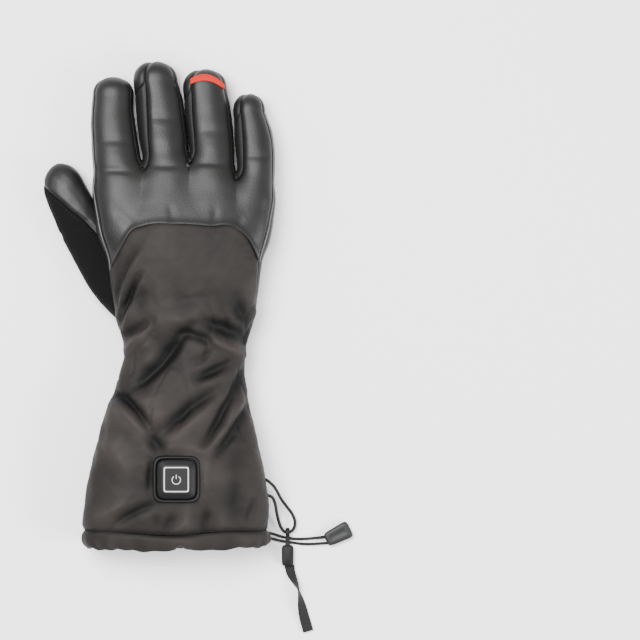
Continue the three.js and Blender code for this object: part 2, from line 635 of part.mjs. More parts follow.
// Gathers of the elastic band across the wrist, on the palm side
const gatherY = HEM_Y + PALM_END - GATHER_LENGTH / 2 + 2;
const wrist = trunkSection((gatherY - HEM_Y) / TRUNK_LENGTH);
const GATHER_REACH = 0.86; // the share of the wrist that the elastic draws in
for (let i = 0; i < GATHER_COUNT; i += 1) {
  const across = GATHER_REACH * ((2 * i) / (GATHER_COUNT - 1) - 1);
  const under = (1 - Math.abs(across) ** wrist.power) ** (1 / wrist.power);
  const groove = new THREE.SphereGeometry(1, 5, 3);
  groove.scale(GATHER_DEPTH, GATHER_LENGTH / 2, GATHER_DEPTH);
  groove.translate(wrist.middle + wrist.halfWidth * across, gatherY, wrist.height - wrist.halfDepth * under);
  cuts.push(solid(groove));
}

const panels = skin.subtract(join(cuts)).decompose();

// The panel that holds most of a small ball round a probe on its wall.
const PROBE = 2.5;
function panelAt(x, y, z) {
  const ball = new THREE.SphereGeometry(PROBE, 6, 4);
  ball.translate(x, y, z);
  const probe = solid(ball);
  const held = panels.map((panel) => panel.intersect(probe).volume());
  return panels[held.indexOf(Math.max(...held))];
}

const skinAt = (along, angle) => trunkPoint(along, angle, -CUFF_WALL / 2).toArray();
const backAt = (i) => fingerPoint(FINGERS[i], 0.6, UP, -HAND_WALL / 2).toArray();
const stripAt = (i) => {
  const y = FINGER_ROOT_Y + FINGER_LENGTH / 2;
  return [sideOf(FINGERS[i], y, -1) + HAND_WALL / 2, y, seamHeight(y) + FOURCHETTE_WIDTH / 2];
};
const UP = Math.PI / 2;
const DOWN = -Math.PI / 2;
add('back_leather', panelAt(...backAt(1)), LEATHER);
add('palm_leather', panelAt(...skinAt(0.9, DOWN + 0.3)), LEATHER);
add('fourchette_index_middle', panelAt(...stripAt(1)), LEATHER);
add('fourchette_middle_ring', panelAt(...stripAt(2)), LEATHER);
add('fourchette_ring_little', panelAt(...stripAt(3)), LEATHER);
add('thumb_leather', panelAt(...thumbPoint(0.7, 0, -HAND_WALL / 2).toArray()), LEATHER);
add('thumb_softshell', panelAt(...thumbPoint(0.7, Math.PI, -HAND_WALL / 2).toArray()), SOFTSHELL);
add('gauntlet_back', panelAt(...skinAt(0.4, UP)), TEXTILE);
add('gauntlet_palm', panelAt(...skinAt(0.3, DOWN)), TEXTILE);
add('hem_channel', panelAt(...skinAt(0.03, UP)), TEXTILE);

// The heat control: a raised square surround, the soft button in it and the light line on the button
function squareShape(size, radius, Kind = THREE.Shape) {
  const half = size / 2 - radius;
  const shape = new Kind();
  [[1, 1], [-1, 1], [-1, -1], [1, -1]].forEach(([sx, sy], i) => {
    shape.absarc(sx * half, sy * half, radius, (i * Math.PI) / 2, ((i + 1) * Math.PI) / 2, false);
  });
  return shape;
}

const CURVE_STEPS = 2;
const BEVEL = 0.9;
function plate(shape, bottom, top, bevel = 0) {
  const geometry = new THREE.ExtrudeGeometry(shape, {
    depth: top - bottom - 2 * bevel,
    bevelEnabled: bevel > 0,
    bevelThickness: bevel,
    bevelSize: bevel,
    bevelOffset: -bevel,
    bevelSegments: 1,
    curveSegments: CURVE_STEPS,
  });
  return geometry.translate(0, 0, bottom + bevel);
}

const overSkin = trunkSolid(SEAM_GAP);
const buttonAlong = (BUTTON_Y - HEM_Y) / TRUNK_LENGTH;
const skinTop = trunkPoint(buttonAlong, UP, 0).z;
const SUNK = 4; // the blocks start this far under the skin before they are cut to it

function overButton(shape, height, bevel) {
  const blank = plate(shape, skinTop - SUNK, skinTop + height, bevel).translate(BUTTON_X, BUTTON_Y, 0);
  return largest(solid(blank).subtract(overSkin));
}

const surroundShape = squareShape(SURROUND_SIZE, SURROUND_SIZE * CORNER_SHARE);
surroundShape.holes.push(squareShape(
  BUTTON_SIZE + 2 * SEAM_GAP,
  BUTTON_SIZE * CORNER_SHARE,
  THREE.Path,
));
add('control_surround', overButton(surroundShape, SURROUND_HEIGHT, 0), RUBBER);
add('heat_button', overButton(squareShape(BUTTON_SIZE, BUTTON_SIZE * CORNER_SHARE), BUTTON_HEIGHT, BEVEL), RUBBER);
const frameShape = squareShape(FRAME_SIZE, FRAME_LINE);
frameShape.holes.push(squareShape(FRAME_SIZE - 2 * FRAME_LINE, FRAME_LINE / 2, THREE.Path));
const frameBottom = skinTop + BUTTON_HEIGHT + SEAM_GAP;
add(
  'button_light_frame',
  plate(frameShape, frameBottom, frameBottom + FRAME_HEIGHT).translate(BUTTON_X, BUTTON_Y, 0),
  LIGHT_LINE,
);

// A block between two corners, for cutting a patch out of a thin outer layer
function block(low, high) {
  const size = high.map((value, i) => value - low[i]);
  const middle = high.map((value, i) => (value + low[i]) / 2);
  return solid(new THREE.BoxGeometry(...size).translate(...middle));
}

// The band over the ring fingertip: a slice of a thin layer over the finger, curved like a crescent
const ringFinger = FINGERS[2];
const ringTipY = FINGER_ROOT_Y + ringFinger.length * FINGER_LENGTH;
const bandReach = THREE.MathUtils.degToRad(BAND_REACH);
const bandShape = new THREE.Shape();
bandShape.absarc(0, 0, BAND_ARC, UP - bandReach, UP + bandReach, false);
bandShape.absarc(0, 0, BAND_ARC - BAND_WIDTH, UP + bandReach, UP - bandReach, true);
const bandSlice = new THREE.ExtrudeGeometry(bandShape, { depth: ABOVE, bevelEnabled: false, curveSegments: 6 });
bandSlice.translate(
  xOf(ringFinger.tip) + BAND_SHIFT,
  ringTipY - BAND_BACK - BAND_ARC,
  seamHeight(ringTipY) + FOURCHETTE_WIDTH / 2,
);
const bandLayer = fingerSolid(ringFinger, SEAM_GAP + BAND_PROUD).subtract(fingerSolid(ringFinger, SEAM_GAP));
add('finger_band', largest(bandLayer.intersect(solid(bandSlice))), CORAL);

// The touch patch under the index fingertip
const indexFinger = FINGERS[0];
const patchEnd = FINGER_ROOT_Y + indexFinger.length * FINGER_LENGTH - PATCH_BACK;
const patchMiddle = xOf(indexFinger.tip);
const patchLayer = fingerSolid(indexFinger, SEAM_GAP + PATCH_PROUD).subtract(fingerSolid(indexFinger, SEAM_GAP));
const patchBlock = block(
  [patchMiddle - FINGER_WIDTH, patchEnd - PATCH_LENGTH, BELOW_FLOOR],
  [patchMiddle + FINGER_WIDTH, patchEnd, PATCH_HEIGHT],
);
add('index_touch_patch', largest(patchLayer.intersect(patchBlock)), LEATHER);

// The label by the side seam under the wrist
const labelSection = trunkSection((LABEL_Y - HEM_Y) / TRUNK_LENGTH);
const labelEdge = labelSection.middle + labelSection.halfWidth;
const labelLayer = trunkSolid(SEAM_GAP + LABEL_THICKNESS).subtract(overSkin);
const labelBlock = block(
  [labelEdge - LABEL_WIDTH, LABEL_Y - LABEL_HEIGHT / 2, BELOW_FLOOR],
  [labelEdge, LABEL_Y + LABEL_HEIGHT / 2, SIDE_SEAM_HEIGHT - LABEL_WIDTH / 2],
);
add('wrist_label', largest(labelLayer.intersect(labelBlock)), LABEL_RED);

// Cords: an eight-sided tube along each route
function cordTube(route, diameter, name) {
  const path = new THREE.CatmullRomCurve3(route.map((point) => new THREE.Vector3(...point)));
  const corners = Array.from({ length: CORD_SIDES }, (_, i) => {
    const angle = (i / CORD_SIDES) * TAU;
    return new THREE.Vector2(Math.cos(angle), Math.sin(angle)).multiplyScalar(diameter / 2);
  });
  const stepsAlong = Math.round(path.getLength() / (diameter * 2.4));
  const geometry = new THREE.ExtrudeGeometry(new THREE.Shape(corners), {
    steps: stepsAlong,
    extrudePath: path,
    bevelEnabled: false,
  });
  add(name, geometry, ELASTIC);
}
cordTube(LOOP_ROUTE, LOOP_DIAMETER, 'leash_loop');
cordTube(UPPER_ROUTE, CORD_DIAMETER, 'hem_cord_upper');
cordTube(LOWER_ROUTE, CORD_DIAMETER, 'hem_cord_lower');

// The keeper on the leash: an eye round the loop, a stem over the hem cords and the sleeve of the strap
const eye = LOOP_ROUTE[Math.floor(LOOP_ROUTE.length / 2) + 1];
const eyeShape = new THREE.Shape();
eyeShape.absarc(0, 0, EYE_HOLE + EYE_WALL, 0, TAU, false);
const eyeHole = new THREE.Path();
eyeHole.absarc(0, 0, EYE_HOLE, 0, TAU, true);
eyeShape.holes.push(eyeHole);
const eyeRing = new THREE.ExtrudeGeometry(eyeShape, { depth: EYE_WIDTH, bevelEnabled: false, curveSegments: 8 });
eyeRing.rotateX(UP).rotateZ(UP).translate(KEEPER_X - EYE_WIDTH / 2, eye[1], eye[2]);
const stem = block(
  [KEEPER_X - EYE_WIDTH / 2, KEEPER_TOP_Y - 1, eye[2] - EYE_WALL],
  [KEEPER_X + EYE_WIDTH / 2, eye[1] - EYE_HOLE - EYE_WALL / 2, eye[2] + EYE_WALL],
);
const sleeve = plate(
  squareShape(KEEPER_WIDTH, KEEPER_WIDTH * CORNER_SHARE),
  FLOOR_GAP,
  FLOOR_GAP + KEEPER_THICKNESS,
  BEVEL,
);
sleeve.scale(1, KEEPER_LENGTH / KEEPER_WIDTH, 1).translate(KEEPER_X, KEEPER_TOP_Y - KEEPER_LENGTH / 2, 0);
add('leash_keeper', join([solid(eyeRing), stem, solid(sleeve)]), PLASTIC);

// The strap: webbing that turns over once between the keeper and its stitched end
const strapRings = STRAP_ROUTE.map((row, i) => {
  const before = STRAP_ROUTE[Math.max(i - 1, 0)];
  const after = STRAP_ROUTE[Math.min(i + 1, STRAP_ROUTE.length - 1)];
  const way = new THREE.Vector2(after.x - before.x, after.y - before.y).normalize();
  const turn = THREE.MathUtils.degToRad(row.turn);
  const half = (STRAP_WIDTH * row.width) / 2;
  const thick = STRAP_THICKNESS / 2;
  const height = FLOOR_GAP + half * Math.abs(Math.sin(turn)) + thick * Math.abs(Math.cos(turn));
  return [[1, 1], [-1, 1], [-1, -1], [1, -1]].map(([a, b]) => {
    const across = a * half * Math.cos(turn) - b * thick * Math.sin(turn);
    const up = a * half * Math.sin(turn) + b * thick * Math.cos(turn);
    return new THREE.Vector3(row.x - way.y * across, row.y + way.x * across, height + up);
  });
});
add('leash_strap', solid(loft(strapRings)), ELASTIC);

// The moulded pull at the end of the hem cords
const PULL_CORNER = 2.6;
const pullShape = new THREE.Shape();
pullShape.moveTo(0, -PULL_WIDTH / 2);
pullShape.lineTo(PULL_LENGTH - PULL_CORNER, -PULL_WIDTH / 2 - PULL_FLARE);
pullShape.quadraticCurveTo(PULL_LENGTH, -PULL_WIDTH / 2 - PULL_FLARE, PULL_LENGTH, -PULL_WIDTH / 4);
pullShape.lineTo(PULL_LENGTH, PULL_WIDTH / 4);
pullShape.quadraticCurveTo(
  PULL_LENGTH,
  PULL_WIDTH / 2 + PULL_FLARE,
  PULL_LENGTH - PULL_CORNER,
  PULL_WIDTH / 2 + PULL_FLARE,
);
pullShape.lineTo(0, PULL_WIDTH / 2);
const pull = add('cord_end', plate(pullShape, FLOOR_GAP, FLOOR_GAP + PULL_THICKNESS, BEVEL), PLASTIC);
pull.position.set(PULL_START.x, PULL_START.y, 0);
pull.rotation.z = PULL_ANGLE;

// The origin lies on the floor under the middle of the glove without its loose cords
const LOOSE = ['leash_loop', 'leash_keeper', 'leash_strap', 'hem_cord_upper', 'hem_cord_lower', 'cord_end'];
const gloveBox = new THREE.Box3();
glove.children.filter((mesh) => !LOOSE.includes(mesh.name)).forEach((mesh) => gloveBox.expandByObject(mesh));
const centre = gloveBox.getCenter(new THREE.Vector3());
glove.position.set(-centre.x, -centre.y, 0);

export default glove;
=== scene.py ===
# %% [markdown]
# # A heated gauntlet glove, lying on its palm
# The glove is sewn from leather, padded textile and softshell panels. Its plain solids are loaded first
# and stay as the fixed frame. Each cell then makes one visible piece as a surface worked out with numpy,
# and gives it a node material. All places are in metres in the end, but the tables are in millimetres,
# because a glove maker measures in millimetres.

# %% Load the fixed frame
import json
import math
import bmesh
import bpy
import numpy as np
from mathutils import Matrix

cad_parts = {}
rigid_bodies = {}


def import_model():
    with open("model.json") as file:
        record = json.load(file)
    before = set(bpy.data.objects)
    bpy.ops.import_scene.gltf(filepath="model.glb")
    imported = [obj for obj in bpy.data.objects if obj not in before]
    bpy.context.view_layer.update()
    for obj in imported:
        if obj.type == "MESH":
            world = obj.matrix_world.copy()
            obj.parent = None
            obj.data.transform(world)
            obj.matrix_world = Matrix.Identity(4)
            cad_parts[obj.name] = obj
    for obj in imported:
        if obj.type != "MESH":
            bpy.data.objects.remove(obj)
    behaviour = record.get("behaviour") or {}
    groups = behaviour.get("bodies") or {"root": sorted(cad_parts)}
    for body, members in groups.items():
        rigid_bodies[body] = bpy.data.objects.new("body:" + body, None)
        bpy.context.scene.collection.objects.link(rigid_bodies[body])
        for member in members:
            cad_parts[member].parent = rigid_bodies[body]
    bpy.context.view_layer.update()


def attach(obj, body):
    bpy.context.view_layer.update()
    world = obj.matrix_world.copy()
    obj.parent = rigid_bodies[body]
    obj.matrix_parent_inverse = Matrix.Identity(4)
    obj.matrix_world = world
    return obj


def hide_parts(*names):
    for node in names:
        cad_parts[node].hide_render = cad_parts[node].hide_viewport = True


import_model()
MM = 0.001

# %% [markdown]
# ## Camera, floor and light
# A catalogue picture looks straight down on the glove through a long lens, on a white table, under large
# soft lights. A long lens far away keeps the fingertips from growing towards the viewer. Two soft
# boxes, one large overhead and one lower at the side, give leather its broad highlights.

# %% Camera
VIEW_CENTRE = np.array([113.05, -9.98]) * MM
VIEW_WIDTH = 448 * MM
CAMERA_HEIGHT = 2.6
GLOVE_MIDDLE = 0.025
FILM_WIDTH = 36

camera_data = bpy.data.cameras.new("camera")
camera_data.sensor_width = FILM_WIDTH
camera_data.lens = FILM_WIDTH * (CAMERA_HEIGHT - GLOVE_MIDDLE) / VIEW_WIDTH
camera = bpy.data.objects.new("camera", camera_data)
camera.location = (VIEW_CENTRE[0], VIEW_CENTRE[1], CAMERA_HEIGHT)
bpy.context.scene.collection.objects.link(camera)
bpy.context.scene.camera = camera
print("lens", round(camera_data.lens), "mm")


# %% [markdown]
# ### A white table and two soft boxes
# The floor is one large pale sheet. It is staged, so it isn't part of the glove. The world gives an even
# white light from all round, as a light tent does. The box overhead makes the broad shine, and the one low
# at the side makes every fold throw a shade.

# %% Floor and lights
def area_light(name, place, size, power, look_at=(0.02, 0, 0)):
    """A soft box. It is tipped by the angle between straight down and its aim, then turned towards it."""
    light = bpy.data.lights.new(name, "AREA")
    light.shape = "RECTANGLE"
    light.size, light.size_y = size
    light.energy = power
    lamp = bpy.data.objects.new(name, light)
    lamp.location = place
    aim = np.array(look_at) - np.array(place)
    flat = math.hypot(aim[0], aim[1])
    lamp.rotation_euler = (math.atan2(flat, -aim[2]), 0, math.atan2(aim[0], -aim[1]) + math.pi)
    bpy.context.scene.collection.objects.link(lamp)
    return lamp


floor_mesh = bpy.data.meshes.new("floor")
reach = 6
floor_mesh.from_pydata([(-reach, -reach, 0), (reach, -reach, 0), (reach, reach, 0), (-reach, reach, 0)],
                       [], [(0, 1, 2, 3)])
floor = bpy.data.objects.new("floor", floor_mesh)
bpy.context.scene.collection.objects.link(floor)
floor_look = bpy.data.materials.new("white table")
floor_look.use_nodes = True
floor_shader = floor_look.node_tree.nodes["Principled BSDF"]
floor_shader.inputs["Base Color"].default_value = (0.93, 0.93, 0.93, 1)
floor_shader.inputs["Roughness"].default_value = 0.8
floor_mesh.materials.append(floor_look)

world = bpy.data.worlds.new("studio")
bpy.context.scene.world = world
world.use_nodes = True
world.node_tree.nodes["Background"].inputs["Color"].default_value = (1, 1, 1, 1)
world.node_tree.nodes["Background"].inputs["Strength"].default_value = 0.98
area_light("overhead", (-0.35, 0.35, 1.5), (0.9, 0.9), 68)
area_light("side", (1.3, -0.5, 0.9), (0.8, 0.5), 30)

# %% [markdown]
# ## Tools for surfaces
# Every piece below is a grid of points: rows along the piece and columns across it. One helper turns
# such a grid into a mesh, and one draws a smooth curve through the rows of a short table.


# %% A smooth curve through the rows of a table
def through(at, values):
    """Cubic pieces through the rows. The slope at a row is the slope between its two neighbours."""
    at = np.asarray(at, float)
    values = np.asarray(values, float)
    slopes = np.gradient(values, at)

    def curve(x):
        x = np.clip(x, at[0], at[-1])
        i = np.clip(np.searchsorted(at, x, side="right") - 1, 0, len(at) - 2)
        span = at[i + 1] - at[i]
        t = (x - at[i]) / span
        start = (1 + 2 * t) * (1 - t) ** 2 * values[i] + t * (1 - t) ** 2 * span * slopes[i]
        end = t * t * (3 - 2 * t) * values[i + 1] - t * t * (1 - t) * span * slopes[i + 1]
        return start + end

    return curve


print("a curve through 0, 1, 0 at its middle:", round(float(through([0, 1, 2], [0, 1, 0])(1.0)), 2))


# %% [markdown]
# ### Two small functions
# Nearly every fade in this script is the same soft step, and nearly every rounded square uses a power that
# keeps its sign.


# %% A soft step and a power with a sign
def ease(x, low, high):
    """Nought below low, one above high, and the curve 3t^2 - 2t^3 between them."""
    t = np.clip((x - low) / (high - low), 0, 1)
    return t * t * (3 - 2 * t)


def signed_power(x, power):
    """The power of a number's size, with the number's sign kept."""
    return np.sign(x) * np.abs(x) ** power


# %% [markdown]
# ### From a grid to a piece
# Blender wants points and faces. The points come as one array, and the faces of a grid follow from its rows
# and columns. Doubled points are merged, so that a seam where two grids meet is one line and shades
# smoothly. The wall is a Solidify modifier that grows inwards, as real leather does behind its face.

# %% From grids to a piece of the glove
def grid_faces(rows, columns, closed=False, start=0):
    """Four corners for each cell of a grid. A closed grid joins its last column to its first."""
    across = columns if closed else columns - 1
    row, column = np.meshgrid(np.arange(rows - 1), np.arange(across), indexing="ij")
    a = row * columns + column
    b = row * columns + (column + 1) % columns
    return start + np.stack([a, b, b + columns, a + columns], -1).reshape(-1, 4)


def hand_over(name, mesh, replaces):
    """Smooth shading, the piece's body, and the nodes that it stands for."""
    mesh.polygons.foreach_set("use_smooth", np.full(len(mesh.polygons), True))
    piece = bpy.data.objects.new(name, mesh)
    bpy.context.scene.collection.objects.link(piece)
    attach(piece, "root")
    if replaces:
        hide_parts(*replaces)
    print(name, len(mesh.polygons), "faces")
    return piece


def make_piece(name, points, faces, replaces=(), relief=None):
    """points in millimetres, faces as rows of corners. Points nearer than 0.01 mm become one. relief is
    kept as a value on each point: above nought on ridges, below in valleys and seams. The materials paint it
    as highlight on ridges and as shade in valleys and seams."""
    mesh = bpy.data.meshes.new(name)
    mesh.from_pydata((np.asarray(points, float) * MM).tolist(), [], np.asarray(faces).tolist())
    if relief is not None:
        kept = mesh.attributes.new("relief", "FLOAT", "POINT")
        kept.data.foreach_set("value", np.asarray(relief, np.float32).ravel())
    mesh.validate()
    merge_near(mesh)
    return hand_over(name, mesh, replaces)


def merge_near(mesh, within=0.01 * MM):
    """Makes points nearer than this one, and takes out the faces that this leaves without area."""
    work = bmesh.new()
    work.from_mesh(mesh)
    bmesh.ops.remove_doubles(work, verts=work.verts, dist=within)
    bmesh.ops.dissolve_degenerate(work, edges=work.edges, dist=within / 10)
    work.to_mesh(mesh)
    work.free()


def thicken(piece, thickness, offset=-1):
    """A wall of that thickness in mm, grown inwards from the outer face."""
    wall = piece.modifiers.new("wall", "SOLIDIFY")
    wall.thickness = thickness * MM
    wall.offset = offset
    wall.use_even_offset = False
    return wall


# %% [markdown]
# ### Tubes
# Cords, stitched rims and webbing are all a small profile carried along a line. The profile's two axes are
# found from the line's own direction, so it neither flips nor shears. Curve objects with a bevel could do
# it as well, but a grid of our own also gives the turn of a twisted strap.

# %% A tube or a band along a path
def along_path(path, profile, turn=None, up=(0, 0, 1)):
    """Carries a closed profile along a path. At each point the profile's first axis is level, square to
    the path, and its second is square to both. turn, in radians, twists the profile about the path."""
    path = np.asarray(path, float)
    way = np.gradient(path, axis=0)
    way /= np.linalg.norm(way, axis=1, keepdims=True)
    side = np.cross(way, np.broadcast_to(up, way.shape))
    side /= np.maximum(np.linalg.norm(side, axis=1, keepdims=True), 1e-6)
    lift = np.cross(side, way)
    turn = np.zeros(len(path)) if turn is None else np.asarray(turn)
    c, s = np.cos(turn)[:, None], np.sin(turn)[:, None]
    first, second = c * side + s * lift, c * lift - s * side
    profile = np.asarray(profile, float)
    if profile.ndim == 2:
        profile = np.broadcast_to(profile, (len(path), *profile.shape))
    return path[:, None] + profile[..., :1] * first[:, None] + profile[..., 1:] * second[:, None]


def circle(radius, sides):
    """Points evenly round a circle: the cosine and the sine of each angle times the radius."""
    angle = np.arange(sides) / sides * math.tau
    return radius * np.stack([np.cos(angle), np.sin(angle)], -1)


def closed_tube(grid):
    """Points and faces of a tube grid, with a middle point fanned in at each end."""
    rows, sides, _ = grid.shape
    points = np.concatenate([grid.reshape(-1, 3), grid[:1].mean(1), grid[-1:].mean(1)])
    faces = grid_faces(rows, sides, closed=True).tolist()
    i = np.arange(sides)
    start, end = rows * sides, rows * sides + 1
    last = (rows - 1) * sides
    faces += np.stack([np.full(sides, start), (i + 1) % sides, i], -1).tolist()
    faces += np.stack([np.full(sides, end), last + i, last + (i + 1) % sides], -1).tolist()
    return points, faces


# %% [markdown]
# ### Even steps along a route
# A given route has few points, close together where it bends. For a tube they are spread evenly along
# its length first, so that its rings are alike, and the same steps give its real length.


# %% Even steps and lengths
def resample(path, count):
    """The same route through evenly spaced points, on a smooth curve through the given ones."""
    path = np.asarray(path, float)
    step = np.linalg.norm(np.diff(path, axis=0), axis=1)
    path = path[np.concatenate([[True], step > 1e-4])]
    far = np.concatenate([[0], np.cumsum(np.linalg.norm(np.diff(path, axis=0), axis=1))])
    even = np.linspace(0, far[-1], count)
    return np.stack([through(far, path[:, axis])(even) for axis in range(path.shape[1])], -1)


def length_of(path):
    """The lengths of all its steps added up."""
    return float(np.linalg.norm(np.diff(path, axis=0), axis=1).sum())


# %% [markdown]
# ### Closed bodies
# A tube's ends are closed by fans of triangles round a middle point, so its face list is mixed. Such a body
# needs no merging, and goes straight into its mesh.

# %% Faces of a mixed list need one mesh call
def make_mixed(name, points, faces, replaces=()):
    """As make_piece, for faces of three and four corners together."""
    mesh = bpy.data.meshes.new(name)
    mesh.from_pydata((np.asarray(points, float) * MM).tolist(), [], faces)
    return hand_over(name, mesh, replaces)


# %% [markdown]
# ## The leash and the hem's cords
# An elastic loop leaves the side seam of the cuff and carries a keeper with a stitched webbing end. Two
# strands of the hem's drawcord run under the keeper to a moulded pull. Their routes are the solids' own,
# so they lie where the frame has them, and each tube is a circle carried along a smooth curve. Only the two
# ends of the loop go a few millimetres further in, because the padded cloth yields there.

# %% Cords
PART_SHIFT = np.array([-0.907, 0.616, 0])
LOOP_ROUTE = np.array([
    (73.8, -121.2, 24.6), (77.4, -123.2, 24), (80.6, -126.0, 22.4), (83.8, -131.0, 15.5), (86.8, -137, 8.5),
    (90.6, -142.4, 4.4), (94.2, -147.4, 3.5), (96.1, -152.2, 3.5), (95.9, -156.4, 3.6), (94, -159.4, 3.6),
    (91.2, -160.4, 3.6), (88.4, -159.6, 3.6), (86.4, -157, 3.7), (84.9, -153, 4.6), (83.8, -148, 8.5),
    (82.9, -142, 15), (82, -137.8, 20.5), (80.3, -134.6, 24), (76.6, -133.0, 25),
]) + PART_SHIFT
LOOP_THICK, STRAND_THICK, STRAP_WIDE = 2.2, 2.0, 7.4
UPPER_ROUTE = np.array([
    (75.2, -160.3, 11), (78.4, -160.8, 8.4), (81.8, -161.8, 4.6), (85, -163, 1.9), (88, -163.9, 1.15),
    (91.4, -164.6, 1.1), (96, -165.2, 1.1), (101.5, -165.3, 1.1), (107.3, -164.9, 1.2), (112.6, -164.3, 1.9),
    (117.7, -163.6, 2.8),
]) + PART_SHIFT
LOWER_ROUTE = np.array([
    (75.0, -163.6, 9.4), (78.2, -164.3, 6.6), (81.6, -165.3, 3), (84.8, -166.3, 1.4), (88, -166.9, 1.1),
    (91.4, -167.4, 1.1), (96, -168.1, 1.1), (101.5, -168.8, 1.1), (107.3, -168.9, 1.2), (113.4, -168.5, 1.9),
    (119.8, -167.9, 2.8),
]) + PART_SHIFT


def cord(name, route, diameter, per_mm=1.4):
    """A circle of 14 sides carried along the route, with 1.4 rings for each millimetre of its length."""
    path = resample(route, int(length_of(route) * per_mm))
    points, faces = closed_tube(along_path(path, circle(diameter / 2, 14)))
    return make_mixed(name, points, faces, [name]), path


leash_loop, loop_path = cord("leash_loop", LOOP_ROUTE, LOOP_THICK)
hem_cord_upper, upper_path = cord("hem_cord_upper", UPPER_ROUTE, STRAND_THICK)
hem_cord_lower, lower_path = cord("hem_cord_lower", LOWER_ROUTE, STRAND_THICK)
for route in (loop_path, upper_path, lower_path):
    print("cord length", round(length_of(route), 1), "mm")

# %% [markdown]
# ## The body under the panels
# Sewing the panels first and finding their meeting lines later is hard. It is simpler to describe the
# stuffed glove as one soft body and to let each panel cling to it. The body is a distance: minus inside,
# plus outside, and zero on the skin. A hand part and four fingers are squared tubes, and a smooth
# minimum melts them together at the knuckles. Two panels that meet ask the same body for the same line,
# so their edges agree. First come the sections of the hand: a short table, with a curve through each
# column.

# %% Sections of the hand and cuff, from the hem to the webs
# columns: y, left, right, under, over, squareness
TRUNK = np.array([
    (-170.7, -49.5, 74.0, 1.0, 41.5, 2.3), (-165.4, -51.5, 75.7, 0, 43.5, 2.4),
    (-154.7, -53.2, 77.0, 0, 46, 2.4),
    (-138.7, -52.2, 77.8, 0, 48.4, 2.4), (-117.7, -48.4, 74.3, 0, 49.2, 2.4), (-96.8, -43.0, 69.8, 0, 49, 2.4),
    (-75.8, -36.9, 64.8, 0, 47.5, 2.4), (-57.2, -30.6, 62.1, 2, 45.5, 2.3), (-44, -25.4, 61.0, 5, 44, 2.2),
    (-33.3, -23.0, 61.6, 6.5, 43.2, 2.2), (-24.2, -25.4, 63.3, 4.8, 43.8, 2.3),
    (-12.3, -29.6, 66.8, 1.4, 45, 2.4),
    (3.5, -32.3, 69.0, 0, 46, 2.5), (24.6, -34.7, 71.8, 0, 47, 2.5), (45.7, -37.6, 74.8, 0, 46.4, 2.5),
    (60, -40.2, 77.6, 0, 44.2, 2.5), (72, -42.6, 79.6, 1, 41, 2.5), (84, -44.4, 80.8, 3, 37.5, 2.4),
    (96, -45, 81, 5, 34, 2.3), (110, -44, 80, 7, 31, 2.2),
])
trunk_curves = [through(TRUNK[:, 0], TRUNK[:, column]) for column in range(1, 6)]
print("the hand and cuff run from", TRUNK[0, 0], "to", TRUNK[-1, 0], "mm through", len(TRUNK), "sections")


def trunk_section(y):
    """Middle, half width, mid height, half depth and squareness of the hand at y."""
    left, right, under, over, power = [curve(y) for curve in trunk_curves]
    return (left + right) / 2, (right - left) / 2, (under + over) / 2, (over - under) / 2, power


# %% [markdown]
# ### Four fingers
# A stuffed finger is widest near its middle joint and leans a little to one side, so its middle and half
# width are rows of their own. Height and depth fall off towards the tips in the same way for all four. The
# tip is round over the last stretch of its length.

# %% Fingers: at each y, the middle and half the width
FINGERS = {
    "index": {
        "tip": 160.8, "round": 13, "deep": 1.0,
        "rows": [(60, -27.6, 15.5), (78, -28, 16.2), (93.6, -28.6, 17), (102, -29.6, 16.9), (114.6, -31, 16.3),
                 (127.2, -32.2, 15.7), (135.6, -32.7, 14.9), (148.2, -32.2, 14.3), (161, -31, 13.6)],
    },
    "middle": {
        "tip": 171.8, "round": 14, "deep": 1.0,
        "rows": [(60, 5.4, 15), (80, 5.3, 15.6), (102, 5.0, 15.9), (116, 3.2, 17.0), (131.4, 1.4, 17.1),
                 (148.2, -0.6, 16.5), (160.8, -3.4, 15.2), (172, -5.6, 14)],
    },
    "ring": {
        "tip": 166.4, "round": 13.5, "deep": 0.98,
        "rows": [(60, 38.6, 14.5), (80, 38.2, 15), (102, 37.7, 15.3), (114, 36.7, 15.9), (130, 35, 16.2),
                 (144, 33.4, 15.9), (156.6, 31.3, 15), (167, 29.6, 14)],
    },
    "little": {
        "tip": 149.2, "round": 13, "deep": 0.9,
        "rows": [(60, 67, 11.5), (80, 68, 12.4), (91.5, 68.4, 12.8), (106.2, 67.8, 13.7), (123, 66, 13.2),
                 (131.4, 64.4, 11.8), (139.8, 62.2, 10.9), (150, 59, 10.2)],
    },
}
finger_height = through([60, 93, 114, 131, 148, 165], [22.2, 20.2, 18, 16.3, 14.8, 13.8])
finger_depth = through([60, 93, 114, 131, 148, 165], [14.2, 15.9, 15.2, 14.3, 13.4, 12.6])
FINGER_POWER = 2.25
FINGER_FOOT = 58
for finger in FINGERS.values():
    rows = np.array(finger["rows"], float)
    finger["middle"] = through(rows[:, 0], rows[:, 1])
    finger["half"] = through(rows[:, 0], rows[:, 2])
    finger["start"] = finger["tip"] - finger["round"]
fingers = list(FINGERS.values())


def finger_section(finger, y):
    y = np.minimum(y, finger["start"])
    depth = finger["deep"] * finger_depth(y)
    return finger["middle"](y), finger["half"](y), finger_height(y), depth, FINGER_POWER


web_line = through([-60, -30, -10.9, 5, 21.1, 38, 54.9, 70, 90], [82, 92, 97, 99.5, 101, 97, 89.5, 84, 74])
CROTCHES = [(-10.9, 93.6), (21.1, 97.8), (54.9, 86.5)]
print("middle finger tip at", fingers[1]["tip"], "mm, its slit starts at", CROTCHES[0][1])


# %% [markdown]
# ### Inside, outside and the skin
# With a distance, three jobs are easy on whole arrays: moving points onto the skin, asking which way is
# out, and letting a sheet fall until it lies on the glove. The slope of the distance does all of it.

# %% The body as a distance
FOOT_FADE = 20
WEB_BLEND, FINGER_BLEND, TABLE_BLEND = 12, 10, 3
TABLE_TOP = 0.2


